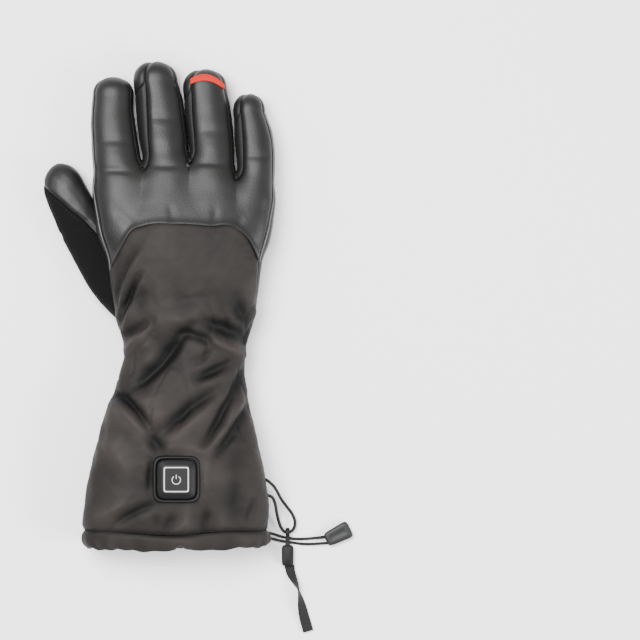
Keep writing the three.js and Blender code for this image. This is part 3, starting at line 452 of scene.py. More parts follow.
def tube_distance(terms, sizes, power):
    """Each term is a place over a half size. t is their sum in that power, and the distance is t - 1 over
    the slope of t, which is near the true distance close to the skin."""
    t = sum(term ** power for term in terms) ** (1 / power) + 1e-9
    slopes = [np.maximum(term, 1e-9) ** (power - 1) / size for term, size in zip(terms, sizes)]
    slope = np.sqrt(sum(one ** 2 for one in slopes))
    slope = slope * t ** (1 - power) + 1e-6
    return np.clip((t - 1) / slope, -40, 80)


def smooth_least(a, b, blend):
    """The smaller of two distances, rounded over a stretch of that many mm where they are alike."""
    h = np.clip(1 - np.abs(a - b) / blend, 0, 1)
    return np.minimum(a, b) - h * h * blend / 4


def finger_distance(finger, p):
    """A squared tube whose third term grows beyond the tip's start and before the finger's foot."""
    x, y, z = p[..., 0], p[..., 1], p[..., 2]
    middle, half, height, depth, power = finger_section(finger, y)
    beyond = np.clip((y - finger["start"]) / finger["round"], 0, None)
    before = np.clip((FINGER_FOOT - y) / FOOT_FADE, 0, None)
    terms = [np.abs(x - middle) / half, np.abs(z - height) / depth, beyond + before]
    return tube_distance(terms, [half, depth, np.where(before > 0, FOOT_FADE, finger["round"])], power)


def hand_distance(p):
    """The trunk cut off along the webs and the nearest finger, melted together and pressed flat on the
    table."""
    x, y, z = p[..., 0], p[..., 1], p[..., 2]
    middle, half, height, depth, power = trunk_section(y)
    trunk = tube_distance([np.abs(x - middle) / half, np.abs(z - height) / depth], [half, depth], power)
    trunk = -smooth_least(-trunk, -(y - web_line(x)), WEB_BLEND)
    nearest = np.minimum.reduce([finger_distance(finger, p) for finger in fingers])
    body = smooth_least(trunk, nearest, FINGER_BLEND)
    return -smooth_least(-body, z - TABLE_TOP, TABLE_BLEND)


print("a point in the palm's middle:", round(float(hand_distance(np.array([[20.0, 40.0, 23.0]]))[0]), 1), "mm")


# %% [markdown]
# ### Moving points with the distance
# The distance grows fastest straight away from the skin. Its slope, found by stepping a little along X, Y
# and Z, tells where out is, and how far a point has to go. A few rounds bring every point onto the skin,
# because the distance is only near the true one.


# %% Onto the skin, outwards, and down
def slope_of(distance, p, step=0.05):
    """Which way is out: how the distance grows along X, Y and Z."""
    here = distance(p)
    return here, np.stack([(distance(p + step * axis) - here) / step for axis in np.eye(3)], -1)


def settle(points, distance=hand_distance, rounds=5):
    """Moves points onto the skin: each round steps down the slope by the distance that is left."""
    p = np.array(points, float)
    for _ in range(rounds):
        here, slope = slope_of(distance, p)
        move = here / np.maximum((slope ** 2).sum(-1), 0.3)
        p -= np.clip(move, -6, 6)[..., None] * slope
    return p


def outward(points, distance=hand_distance):
    """The slope of the distance, brought to a length of one."""
    _, slope = slope_of(distance, points)
    return slope / np.maximum(np.linalg.norm(slope, axis=-1, keepdims=True), 1e-9)


def drop(x, y, start, way):
    """Falls from a height straight down (way -1), or rises from below (way 1), until it meets the skin."""
    p = np.stack([x, y, np.full_like(x, start)], -1)
    for _ in range(40):
        p[..., 2] += way * 0.8 * np.maximum(hand_distance(p), 0)
    return p


def ring_point(section, y, angle):
    """The point of a squared ring at an angle: 0 on the little-finger side, a quarter turn on the back."""
    middle, half, height, depth, power = section
    x = middle + half * signed_power(np.cos(angle), 2 / power)
    z = height + depth * signed_power(np.sin(angle), 2 / power)
    return np.stack(np.broadcast_arrays(x, y, z), -1)


# %% [markdown]
# ### Small unevenness
# No sewn panel is quite even. A few sine waves in fixed random directions, in octaves that get finer and
# lower, give each panel its own soft ripples. A fixed seed gives the same ripples in each run.

# %% Small unevenness of cloth and leather
def ripple(p, size, seed, octaves=3):
    """Soft unevenness: sine waves in fixed directions, each octave half as long and half as high."""
    rng = np.random.default_rng(seed)
    total = np.zeros(p.shape[:-1])
    for octave in range(octaves):
        for _ in range(5):
            way = rng.normal(size=3)
            way *= math.tau / (size / 2 ** octave) / np.linalg.norm(way)
            total += np.sin(p @ way + rng.uniform(0, math.tau)) / (2.4 * 2 ** octave)
    return total


# %% [markdown]
# ### Folds
# Cloth simulation gives believable folds, but not the folds of this very cuff. Here each one is a row of a
# table: a bent line, a height and a width. The deepest ones run aslant over the wrist, where bending the
# hand has creased the padding, and short ones stand on the seam of the hem.

# %% Folds of the back
# columns: x0, y0, x1, y1, bend, height, width; height is below nought in a valley
BACK_FOLDS = np.array([
    (22, -14, -17, -58, 2.5, -4.4, 4.4),
    (-3, -14, -22, -36, -3, 3.2, 4.2),
    (-26, -20, -5, -12, -1, -3.6, 4.4),
    (13, -20, 39, -28, 3, -2.4, 3.4),
    (4, -8, 32, -8, -2, 1.6, 7.0),
    (33, -12, 66, -26, 1.5, -4.0, 5.0),
    (36, -25, 63, -37, 1.5, 2.8, 4.4),
    (51, -38, 27, -51, 1, -3.6, 3.8),
    (37, -30, 26, -40, 1, -1.4, 3.0),
    (42, -58, -2, -92, -1, -3.8, 4.8),
    (42, -67, 7, -101, -2, 2.6, 5.2),
    (60, -44, 32, -97, 1.5, -3.6, 3.0),
    (58, -68, 35, -101, 1, 2.6, 3.2),
    (64, -66, 40, -105, 2, -3.2, 3.8),
    (57, -96, 55, -150, -3, -2.4, 7.0),
    (37, -106, 34, -130, -2, 1.6, 3.0),
    (-1, -138, -30, -153, -2, -2.4, 3.4),
    (-22, -136, -43, -148, 1, 2.0, 4.0),
    (20, -149, 10, -158, 1, 1.8, 2.6),
    (11, -146, 4, -158, 0, -1.8, 3.0),
    (67, -133, 61, -150, 1, -1.8, 2.8),
    (-31, -60, -6, -86, 3, -4.4, 3.4),
    (-33, -68, -6, -94, 3, 2.8, 6.0),
    (-9, -89, 4, -104, 1, -2.6, 4.5),
    (-40, -92, -20, -122, 4, 2.0, 9.0),
    (-12, -64, 8, -96, 4, 2.2, 10.0),
    (20, -98, 38, -104, 1, 1.4, 5.0),
    (-3, -108, -4, -130, -1, -2.0, 2.8),
    (36, -128, 64, -116, 4, 1.8, 10.0),
    (22, -139, 20, -158, 0, 1.5, 3.4),
    (34, -141, 30, -158, 1, -1.7, 3.4),
    (46, -143, 43, -158, 0, 1.3, 3.2),
    (0, -146, -2, -158, 0, -1.2, 2.8),
    (-14, 34, -29, -12, -2.5, 2.2, 3.0),
    (-10, 20, -25, -19, -1, 2.2, 3.2),
    (-12, 22, -26.5, -16, -2, -2.0, 2.8),
    (-13, 43, -30, -3, -2, -1.8, 3.4),
    (54, 2, 67, -20, 1, -2.0, 5.0),
    (66, 24, 64, -10, -3, 1.6, 6.0),
    (44, 12, 62, -10, 4, -1.6, 8.0),
    (-8, 12, -24, -6, -3, -1.6, 7.0),
])
print(len(BACK_FOLDS), "folds on the back,", int((BACK_FOLDS[:, 5] < 0).sum()), "of them valleys")

# %% [markdown]
# ### From a table to a relief
# Every point of a panel gets the sum of all folds near it. The line of a fold is a flat arch between its two
# ends, cut into short steps, and the nearest step says how far away a point is. This is plain arithmetic on
# whole arrays, so a fold can be moved by a millimetre and seen again at once.


# %% The height of the folds at any point
def fold_height(p, folds):
    """Each fold lies on a bent line. Across it the height falls off as a bell, sharper at the top of a
    ridge than in a valley, and along it the height rises and dies away at both ends."""
    s = np.linspace(0, 1, 48)
    x, y = p[..., 0][..., None], p[..., 1][..., None]
    total = np.zeros(p.shape[:-1])
    for x0, y0, x1, y1, bend, height, width in folds:
        along = np.array([x1 - x0, y1 - y0])
        side = np.array([-along[1], along[0]]) / np.linalg.norm(along)
        line = np.array([x0, y0]) + s[:, None] * along + (4 * bend * s * (1 - s))[:, None] * side
        away = np.hypot(x - line[:, 0], y - line[:, 1])
        near = away.argmin(-1)
        fade = np.clip(np.sin(math.pi * (0.04 + 0.92 * s[near])), 0, 1) ** 0.6
        d = away.min(-1) / width
        shape = np.exp(-d ** 1.5) if height > 0 else np.exp(-d * d)
        total += height * fade * shape
    return total


print("in the deepest fold:", round(float(fold_height(np.array([[2.5, -36.0]]), BACK_FOLDS)[0]), 1), "mm")


# %% [markdown]
# ## Panels of leather and textile
# A glove maker cuts flat panels and sews them edge to edge, so every edge is pulled in and the middle stays
# puffed. Here each panel is a grid between two seam lines. It is laid near the body, settled onto it, and
# then pushed in along its own edges, which gives each seam its groove.


# %% Edges pulled in, and pieces made from several grids
def pulled_in(grid, sides, depth=1.2, width=2.2):
    """How far each point of a grid sinks: a bell of its distance in mm to each named edge, measured
    along the grid's own rows and columns."""
    along = np.linalg.norm(np.diff(grid, axis=0), axis=2)
    across = np.linalg.norm(np.diff(grid, axis=1), axis=2)
    rows = np.concatenate([np.zeros((1, grid.shape[1])), np.cumsum(along, 0)])
    columns = np.concatenate([np.zeros((grid.shape[0], 1)), np.cumsum(across, 1)], 1)
    far = {"first": rows, "last": rows[-1:] - rows, "left": columns, "right": columns[:, -1:] - columns}
    return -depth * np.maximum.reduce([np.exp(-(far[side] / width) ** 2) for side in sides])


def shaped(grid, sides, extra=0.0, out=None, depth=1.2, width=2.2):
    """The grid moved outwards by its folds and inwards at its seams, and that relief beside it. sides may
    give each edge a strength, as one number or one for each point."""
    strength = sides if isinstance(sides, dict) else dict.fromkeys(sides, 1.0)
    relief = np.minimum.reduce(
        [pulled_in(grid, (side,), depth, width) * share for side, share in strength.items()])
    relief = relief + extra
    out = outward(grid) if out is None else out
    return grid + relief[..., None] * out, relief


TABLE_GAP = 0.1


def panel(name, shapes, wall=2.0, flip=False):
    """One piece from grids that share their edges, kept as one mesh with a wall grown inwards. Each grid
    comes with its relief. Where a panel rests on the table, it is pressed flat. A grid whose angle grows
    from column to column has its faces turned over (flip), so that all of them look outwards."""
    points, faces, relief, start = [], [], [], 0
    for grid, height in shapes:
        relief.append(np.broadcast_to(height, grid.shape[:2]).ravel())
        points.append(grid.reshape(-1, 3))
        faces.append(grid_faces(grid.shape[0], grid.shape[1], start=start))
        start += grid.shape[0] * grid.shape[1]
    points, faces, relief = [np.concatenate(part) for part in (points, faces, relief)]
    points[:, 2] = np.maximum(points[:, 2], TABLE_GAP)
    faces = faces[:, ::-1] if flip else faces
    piece = make_piece(name, points, faces, [name], relief=relief)
    thicken(piece, wall)
    return piece


# %% [markdown]
# ### Lanes
# The leather of the back is one skin that splits into four fingers. It is worked out as four strips, or
# lanes, side by side: each starts at the arched seam, follows the hand up to the knuckles and then wraps
# its finger. Neighbours share one valley line, so the merged mesh has no gap. The palm is made alike.

# %% Borders of the lanes on the hand
KNUCKLE = 78.0
CROTCH_DROP = 12  # the slits between the fingers go down this much further on the palm
LANE_COLUMNS = (34, 34, 34, 26)


def trunk_angles(way):
    """The angle on the trunk's ring of each lane's border, from the index side to the little side. On the
    palm (way -1) the ring is followed under the hand."""
    middle, half, _, _, power = trunk_section(KNUCKLE)
    inner = []
    for x, _ in CROTCHES:
        share = (x - middle) / half
        angle = math.acos(float(signed_power(share, power / 2)))
        inner.append(angle if way > 0 else math.tau - angle)
    ends = (math.radians(165), math.radians(15)) if way > 0 else (math.radians(165), math.radians(375))
    return [ends[0], *inner, ends[1]]


def side_drop(angle, y, way):
    """Down the cuff the side seam drops from the back's edge to the widest line, out of the view from
    above. The angles of a panel are spread or drawn together about its middle for that."""
    middle, reach = (math.pi / 2, math.radians(75)) if way > 0 else (1.5 * math.pi, math.radians(105))
    drop_by = way * math.radians(17) * (1 - ease(y, -14, 32))
    return middle + (angle - middle) * (reach + drop_by) / reach


print("back borders in degrees:", [round(math.degrees(angle)) for angle in trunk_angles(1)])


# %% [markdown]
# ### One lane
# Below the knuckles the rows are parts of the hand's ring, and above them parts of the finger's. The two
# are mixed over a short stretch and settled onto the body. Beside a crotch the border is let fall straight
# into the valley, and the points next to it follow less and less.


# %% One lane
def lane(i, way, first_row, seams):
    """One finger's strip of leather. first_row(angle) is where it starts on the hand, seams(i, y) the
    finger's two seam angles. Up to the knuckle it follows the hand's ring, then it turns into the finger's.
    Where two lanes meet, both borders are moved onto the same valley line."""
    finger = fingers[i]
    angles = trunk_angles(way)
    u = np.linspace(0, 1, LANE_COLUMNS[i])
    hand_angle = angles[i] + (angles[i + 1] - angles[i]) * u
    start = first_row(hand_angle)
    low = np.linspace(0, 1, 44)[:, None] * (KNUCKLE - start) + start
    high = np.concatenate([np.linspace(KNUCKLE, 100, 24)[1:], np.linspace(100, finger["start"], 26)[1:]])
    y = np.concatenate([low, np.broadcast_to(high[:, None], (len(high), len(u)))])
    hand_part = ring_point(trunk_section(y), y, side_drop(hand_angle, y, way))
    left, right = seams(i, y)
    finger_part = ring_point(finger_section(finger, y), y, left + (right - left) * u)
    turn = ease(y, KNUCKLE, 96)[..., None]
    grid = settle(hand_part * (1 - turn) + finger_part * turn)
    for column, crotch, weight in ((0, i - 1, (1 - u) ** 3), (-1, i, u ** 3)):
        if 0 <= crotch <= 2:
            x, end = CROTCHES[crotch]
            end = end if way > 0 else end - CROTCH_DROP
            border, at = grid[:, column].copy(), y[:, column]
            valley = drop(np.full(len(at), x), at, 60.0 if way > 0 else -20.0, -way)
            near = (ease(at, 58, KNUCKLE) * (1 - ease(at, end, end + 5)))[:, None]
            grid += (near * (valley - border))[:, None] * weight[:, None]
    inside = grid.copy()
    inside[:, 1:-1] = settle(grid[:, 1:-1], rounds=3)
    return inside


# %% [markdown]
# ### Seams of the fingers
# On each finger the back and the palm meet the strips at two seams, given as angles on the finger's ring.
# The left ones are seen from above, so they are written as shares of the half width, where the eye reads
# them.


# %% Seams of the fingers
def back_seams(i, y):
    """Seam angles of the backs of the fingers, left and right."""
    left = {1: ([100, 116, 145, 160], [-0.77, -0.63, -0.5, -0.46]),
            2: ([100, 111, 136, 155], [-0.87, -0.78, -0.7, -0.62]),
            3: ([87, 101, 116, 132, 145], [-0.86, -0.7, -0.6, -0.6, -0.64])}
    right = np.full_like(y, math.radians(21 if i < 3 else 20))
    if i == 0:
        return np.full_like(y, math.radians(157)), right
    at, share = left[i]
    angle = np.arccos(signed_power(through(at, share)(y), FINGER_POWER / 2))
    return angle, right


def palm_seams(i, y):
    """Seam angles of the undersides, from the index side round below to the little side. Near the tip the
    seam climbs to the back's seam, because the strip between the fingers ends there."""
    left, right = back_seams(i, y)
    start = fingers[i]["start"]
    climb = ease(y, start - 16, start)
    under_left = math.radians(200) if i else left
    under_right = math.radians(340) if i < 3 else right + math.tau
    left = under_left + (left - under_left) * climb
    return left, under_right + (right + math.tau - under_right) * climb


# %% [markdown]
# ### Where the leather starts
# On the back it starts at a wide arch over the padded cloth, on the palm at a straight seam across the
# wrist. The arch is a curve through a few points. Each column of a lane finds its start on it by stepping,
# because the place across the hand depends on the height along it.

# %% Where the leather starts
ARCH_SEAM = np.array([
    (-37.5, 21), (-33.95, 23.6), (-30.5, 30.5), (-26.95, 37.3), (-19.25, 50.9), (-9.45, 55.4), (12.95, 56.7),
    (34.3, 55.4), (58, 51.6), (64.05, 44.8), (68, 37), (70.35, 31.3), (74, 28),
])
arch_rise = through(ARCH_SEAM[:, 0], ARCH_SEAM[:, 1])


def arch_start(angle):
    """The arched seam as y against the angle on the ring, found by stepping y to the arch at x(y)."""
    y = np.full_like(np.asarray(angle, float), 40.0)
    for _ in range(30):
        x = ring_point(trunk_section(y), y, angle)[..., 0]
        y = 0.5 * y + 0.5 * arch_rise(np.clip(x, -37.5, 74))
    return y


WRIST_SEAM = -30.0


def palm_start(angle):
    """The palm's leather starts at the straight seam across the wrist."""
    return np.full_like(np.asarray(angle, float), WRIST_SEAM)


back_lanes = [lane(i, 1, arch_start, back_seams) for i in range(4)]
palm_lanes = [lane(i, -1, palm_start, palm_seams) for i in range(4)]
print("back lanes", [grid.shape for grid in back_lanes])


# %% [markdown]
# ### Fingertips
# A fingertip is closed by rings that shrink as a quarter of an ellipse does. Their centre lies a little
# under the middle, where the real seam runs round the tip.


# %% Fingertips
def tip_rows(i, last_row, rows=20):
    """The rings beyond a finger's start shrink towards one point at the tip, a little under the middle, as
    the cosine of a quarter turn, and move forth as its sine. Both panels close at that point, so the seam
    runs round the fingertip below its top."""
    finger = fingers[i]
    start = finger["start"]
    middle, _, height, depth, power = finger_section(finger, start)
    tip = np.array([middle, start + finger["round"], height - 0.3 * depth])
    swing = np.linspace(0, math.pi / 2, rows)[1:, None, None]
    shrink, forth = np.cos(swing) ** (2 / power), np.sin(swing) ** (2 / power)
    ahead = tip + shrink * (last_row - tip)
    ahead[..., 1] = start + finger["round"] * forth[..., 0]
    ahead[:-1] = settle(ahead[:-1], rounds=3)
    return ahead


# %% [markdown]
# ### Creases
# Creases are folds again, thin and shallow, at the joints and where the knuckles bend. On the palm a
# crescent seam runs round the base of the thumb.

# %% Creases of the fingers and the palm
BACK_CREASES = np.array([
    (-42, 115, -20, 114, 1, -0.9, 2.6), (-40, 94, -18, 93, 1, -0.8, 2.6), (-10, 131, 12, 130, 1, -0.9, 2.6),
    (-6, 99, 16, 98, -1, -0.8, 2.6), (24, 99, 48, 98, 1, -0.9, 2.6), (24, 122, 46, 121, 1, -0.6, 2.6),
    (58, 104, 78, 103, 1, -0.7, 2.4), (-40, 104, -20, 103, 1, 0.5, 5.0), (-8, 115, 12, 114, 1, 0.5, 6.0),
    (26, 110, 46, 109, 1, 0.5, 6.0), (-30, 66, -16, 52, 2, -0.7, 4.0), (8, 70, 10, 56, 1, -0.6, 3.0),
    (40, 68, 38, 55, 1, -0.6, 3.0), (60, 62, 52, 50, -1, -0.7, 3.4),
])
PALM_CREASES = np.array([(60, 44, 10, 38, 5, -1.0, 4.0), (54, 26, 0, 10, 6, -0.8, 4.5)])
CRESCENT = np.array([
    (-40, 63), (-26.4, 44), (-16.5, 37.2), (-11, 26), (-9.4, 14), (-12, 1.4), (-19, -9.5), (-32, -15.5),
])


def palm_creases(p):
    """The crescent seam round the base of the thumb, and two soft creases across the palm."""
    line = resample(CRESCENT, 160)
    away = np.hypot(p[..., 0, None] - line[:, 0], p[..., 1, None] - line[:, 1]).min(-1)
    under = 1 - ease(p[..., 2], 16, 22)
    return (-1.1 * np.exp(-(away / 1.5) ** 2) + fold_height(p, PALM_CREASES)) * under


print(len(BACK_CREASES), "creases on the back,", len(PALM_CREASES), "on the palm")


# %% [markdown]
# ### The two leather pieces
# Each lane gets its fingertip, its creases and its seams. Then the four lanes become one mesh, in which
# doubled points on the shared valleys are merged.


# %% Back and palm
def seam_strength(i, grid, lower):
    """Between two lanes there is no seam below the crotch, where the leather is one piece."""
    strength = {"left": 1.0, "right": 1.0}
    for side, crotch in (("left", i - 1), ("right", i)):
        if 0 <= crotch <= 2:
            end = CROTCHES[crotch][1] - lower
            strength[side] = ease(grid[..., 1], end - 1, end + 3)
    return strength


back_grids, palm_grids = [], []
for i in range(4):
    whole_back = np.concatenate([back_lanes[i], tip_rows(i, back_lanes[i][-1])])
    whole_palm = np.concatenate([palm_lanes[i], tip_rows(i, palm_lanes[i][-1])])
    arch_edge = pulled_in(whole_back, ("first",), depth=-0.9, width=3.2)
    back_soft = fold_height(whole_back, BACK_CREASES) + 0.1 * ripple(whole_back, 24, 3, 2) + arch_edge
    wrist_edge = pulled_in(whole_palm, ("first",))
    palm_soft = palm_creases(whole_palm) + 0.1 * ripple(whole_palm, 24, 4, 2) + wrist_edge
    back_grids.append(shaped(whole_back, seam_strength(i, whole_back, 0), back_soft))
    palm_grids.append(shaped(whole_palm, seam_strength(i, whole_palm, CROTCH_DROP), palm_soft))
    for grid in (back_grids[-1][0], palm_grids[-1][0]):
        grid[-1] = grid[-1].mean(0)
LEATHER_WALL = 2.2
back_leather = panel("back_leather", back_grids, LEATHER_WALL)
palm_leather = panel("palm_leather", palm_grids, LEATHER_WALL, flip=True)

# %% [markdown]
# ## Strips between the fingers
# A fourchette is one long strip folded into a U: up the side of one finger, round the crotch, and down the
# side of the next. Its two long edges are the edges of the back and of the palm, so its grid runs from one
# to the other and is settled onto the body between them.


# %% Fourchettes
def u_line(lanes_pair, crotch_end):
    """The edge of the leather along the U: up one finger's right border, round, and up the next's left."""
    first, second = lanes_pair
    right, left = first[:, -1], second[:, 0]
    right, left = right[right[:, 1] >= crotch_end], left[left[:, 1] >= crotch_end]
    return np.concatenate([right[::-1], left])


for i, name in enumerate(("fourchette_index_middle", "fourchette_middle_ring", "fourchette_ring_little")):
    end = CROTCHES[i][1]
    above = resample(u_line(back_lanes[i:i + 2], end), 90)
    below = resample(u_line(palm_lanes[i:i + 2], end - CROTCH_DROP), 90)
    v = np.linspace(0, 1, 14)[None, :, None]
    strip = settle(above[:, None] * (1 - v) + below[:, None] * v, rounds=6)
    strip = shaped(strip, ("left", "right"), depth=1.0, width=1.6)
    panel(name, [(strip[0][:, ::-1], strip[1][:, ::-1])], wall=1.2)

# %% [markdown]
# ## Textile of the cuff
# The cuff is a wide padded tube of closely woven cloth. Its folds start where the wrist draws it in, and
# fan out to the hem. Each fold is a short bent line with a height and a width, and the cloth rises or sinks
# near it. On the palm side an elastic band gathers the cloth into small ribs.

# %% The back of the cuff and hand
PADDED_WALL = 2.6
HEM_LINE = through([-60, -40, -20, 10, 45, 80], [-157, -157, -158.5, -160, -157.5, -157])


def side_rows(angle, top, count=150):
    """Rows of y from the hem's seam up to a top line, for each angle of the ring."""
    y = np.full_like(angle, -157.0)
    for _ in range(10):
        y = HEM_LINE(ring_point(trunk_section(y), y, angle)[..., 0])
    return y + np.linspace(0, 1, count)[:, None] * (top - y)


angle = np.linspace(math.radians(165), math.radians(15), 150)
y = side_rows(angle, arch_start(angle) + 1.4, 210)
gauntlet_back_grid = ring_point(trunk_section(y), y, side_drop(angle, y, 1))
share = np.linspace(0, 1, len(angle))
near_side = ease(share, 0, 0.06) * (1 - ease(share, 0.94, 1))
folds = 1.2 * fold_height(gauntlet_back_grid, BACK_FOLDS) * near_side
soft = 0.45 * ripple(gauntlet_back_grid, 46, 11) + 0.1 * ripple(gauntlet_back_grid, 9, 12, 2)
gauntlet_y = gauntlet_back_grid[..., 1]
creased = ease(gauntlet_y, -125, -70) * (1 - ease(gauntlet_y, -5, 25)) * near_side
soft = soft - 0.55 * creased * np.exp(-(ripple(gauntlet_back_grid, 52, 17, 2) / 0.13) ** 2)
soft = soft + 0.5 * creased * ripple(gauntlet_back_grid, 24, 19, 2)
gauntlet_back = panel(
    "gauntlet_back",
    [shaped(gauntlet_back_grid, {"left": 0.6, "right": 0.6, "first": 1.0, "last": 0.6}, folds + soft,
            depth=1.4)],
    PADDED_WALL,
)

# %% [markdown]
# ### The palm side and its gathers
# An elastic tape is sewn across the inside of the wrist while it is stretched. When it shrinks back, the
# cloth over it stands in small even ribs: a cosine across the wrist, faded out at both ends and edges.

# %% The palm side of the cuff, with its elastic gathers
PALM_FOLDS = np.array([
    (2.5, -48, 14, -76, 3, -2.4, 4.5),
    (-4, -90, -1, -122, 2, -1.4, 4.0),
    (38, -52, 24, -84, -3, -1.6, 5.0),
    (-24, -60, -14, -92, 2, -1.2, 4.0),
])
angle = np.linspace(math.radians(165), math.radians(375), 170)
y = side_rows(angle, np.full_like(angle, WRIST_SEAM), 130)
palm_grid = ring_point(trunk_section(y), y, side_drop(angle, y, -1))
x, along = palm_grid[..., 0], palm_grid[..., 1]
gather = ease(along, -53, -47) * (1 - ease(along, -33, -30)) * ease(x, -24, -14) * (1 - ease(x, 46, 56))
ribs = gather * (1.1 * np.cos(x * math.tau / 5.4 + 0.5 * np.sin(along / 4)) - 0.5)
rest = fold_height(palm_grid, PALM_FOLDS) + 0.3 * ripple(palm_grid, 40, 21)
palm_shape = shaped(palm_grid, {"left": 0.6, "right": 0.6, "first": 1.0, "last": 1.0}, ribs + rest, depth=1.4)
gauntlet_palm = panel("gauntlet_palm", [palm_shape], PADDED_WALL, flip=True)

# %% [markdown]
# ### The hem
# The hem is the cloth turned back on itself, and the drawcord runs inside. It is a puffed tube round the
# opening. Two sine waves of different counts pucker it, and its last rows fold into the cuff.

# %% The hem: a channel for the drawcord
angle = np.linspace(0, math.tau, 360, endpoint=False)
seam_start = np.full_like(angle, -160.0)
upper = ring_point(trunk_section(seam_start), seam_start, angle)
seam_y = HEM_LINE(upper[:, 0])
pucker = 0.8 * np.sin(9 * angle + 0.8) + 0.6 * np.sin(23 * angle + 1.7 * np.sin(3 * angle))
notch = 2.6 * np.exp(-((upper[:, 0] - 15.8) / 3.0) ** 2) * (np.sin(angle) > 0)
edge_y = -170.8 + 1.6 * (upper[:, 0] / 60) ** 2 + 0.7 * pucker + notch
t = np.linspace(0, 1, 40)[:, None]
FOLD_BACK = 0.72
out = np.clip(t / FOLD_BACK, 0, 1)
y = seam_y + (edge_y - seam_y) * np.sin(out * math.pi / 2) ** 1.25
y = np.where(t > FOLD_BACK, edge_y + (t - FOLD_BACK) / (1 - FOLD_BACK) * 9, y)
hem_grid = ring_point(trunk_section(np.maximum(y, -170.0)), y, angle)
middle = np.array([hem_grid[..., 0].mean(), 0, 22.0])
inward = hem_grid - middle
inward[..., 1] = 0
inward /= np.linalg.norm(inward, axis=-1, keepdims=True)
puff = 1.9 * np.sin(np.clip(out, 0, 1) * math.pi) - 1.3 * np.exp(-(out / 0.13) ** 2)
puff = puff + (0.7 * pucker * np.sin(out * math.pi / 1.1) ** 2)
fold_in = ease(t, 0.66, 0.8) * 4.2
hem_grid += (puff - fold_in)[..., None] * inward
hem_grid = np.concatenate([hem_grid, hem_grid[:, :1]], 1)
# The hem's relief only sets its colour: painted highlight on the puff, painted shade at its seam, and all of it
# 1.2 lower, so the whole hem is darker.
hem_relief = np.concatenate([puff, puff[:, :1]], 1) - 1.2
hem_channel = panel("hem_channel", [(hem_grid, hem_relief)], wall=1.0)

# %% [markdown]
# ## The thumb
# The thumb is sewn apart and set into the palm. Its inner half is leather that wraps over the tip, its outer
# half is soft black cloth, handy for wiping. A curved seam runs down between them. Both halves are parts of
# one tube: a place along it and an angle round it, with the seam as an angle for each place.

# %% The thumb's tube
THUMB_ROOT = np.array([-14.9, -5.4])
THUMB_WAY = math.radians(29.6)
THUMB_REACH = 120.0
THUMB_POWER = 2.25
# columns: place, half width, half depth, middle height
THUMB = np.array([
    (0.0, 13.6, 9.6, 14.9), (0.12, 16.7, 11.5, 13.4), (0.25, 17.7, 12.0, 12.5), (0.42, 17.0, 12.0, 12.2),
    (0.6, 16.2, 12.0, 12.2), (0.78, 15.2, 11.7, 12.2), (0.84, 14.8, 11.5, 12.1), (1.0, 14.4, 11.0, 12.1),
])
thumb_half, thumb_deep, thumb_high = [through(THUMB[:, 0], THUMB[:, column]) for column in (1, 2, 3)]


def thumb_point(place, angle):
    """A squared ring about a bowed line. Past 0.84 of the way the ring shrinks as an ellipse does."""
    round_off = np.sqrt(np.clip(1 - np.clip((place - 0.84) / 0.16, 0, 1) ** 2.1, 0, 1))
    bow = 4 * np.sin(math.pi * place)
    across = thumb_half(place) * round_off * signed_power(np.cos(angle), 2 / THUMB_POWER) - bow
    height = thumb_high(place) + thumb_deep(place) * round_off * signed_power(np.sin(angle), 2 / THUMB_POWER)
    along = THUMB_REACH * place
    x = THUMB_ROOT[0] - along * math.sin(THUMB_WAY) + across * math.cos(THUMB_WAY)
    y = THUMB_ROOT[1] + along * math.cos(THUMB_WAY) + across * math.sin(THUMB_WAY)
    return np.stack(np.broadcast_arrays(x, y, np.maximum(height, 0.15)), -1)


def thumb_outward(place, angle, step=1e-3):
    """Square to the tube: the cross product of its two directions, one along and one round."""
    place = np.clip(place, 0.001, 0.985)
    along = thumb_point(place + step, angle) - thumb_point(place - step, angle)
    round_it = thumb_point(place, angle + step) - thumb_point(place, angle - step)
    out = np.cross(along, round_it)
    return out / np.maximum(np.linalg.norm(out, axis=-1, keepdims=True), 1e-9)


print("the thumb's tip in mm:", [round(float(v), 1) for v in thumb_point(1.0, 0.0)])
seam_over = through([0, 0.5, 0.59, 0.708, 0.817, 0.9, 0.942, 1],
                    np.radians([70, 66, 75, 94, 117, 150, 178, 180]))
seam_under = through([0, 0.6, 0.817, 0.9, 0.942, 1], np.radians([-100, -105, -130, -160, -178, -180]))


# %% [markdown]
# ### Its two halves
# Both halves are the same kind of panel with the two seams as borders, once one way round and once the
# other. The softshell ends below the tip, and the leather closes over it.

# %% Its two halves
def thumb_half_panel(name, start, end, last_place, columns):
    """Rows along the thumb, closer together near the tip, and columns from one seam angle to the other."""
    place = (1 - (1 - np.linspace(0, 1, 110)) ** 1.5)[:, None] * last_place
    u = np.linspace(0, 1, columns)
    angle = start(place) + (end(place) - start(place)) * u
    grid = thumb_point(place, angle)
    soft = 0.25 * ripple(grid, 24, 31) - 0.8 * np.exp(-((place - 0.62) / 0.02) ** 2) * np.sin(angle / 2) ** 2
    shape = shaped(grid, ("left", "right"), soft, thumb_outward(place, angle), depth=1.1, width=1.9)
    shape[0][-1] = shape[0][-1].mean(0)
    return panel(name, [shape], wall=1.6, flip=True)


thumb_leather = thumb_half_panel("thumb_leather", seam_under, seam_over, 1.0, 90)
thumb_softshell = thumb_half_panel(
    "thumb_softshell", seam_over, lambda place: math.tau + seam_under(place), 0.942, 80)

# %% [markdown]
# ## Rounded slabs
# Moulded parts such as keys, frames, sleeves and pulls are rounded slabs. A squared ring is drawn in and
# lifted by a short table of insets and heights, which is the section of the mould. The rings are closed by
# fans, or joined last to first for a frame with a hole.


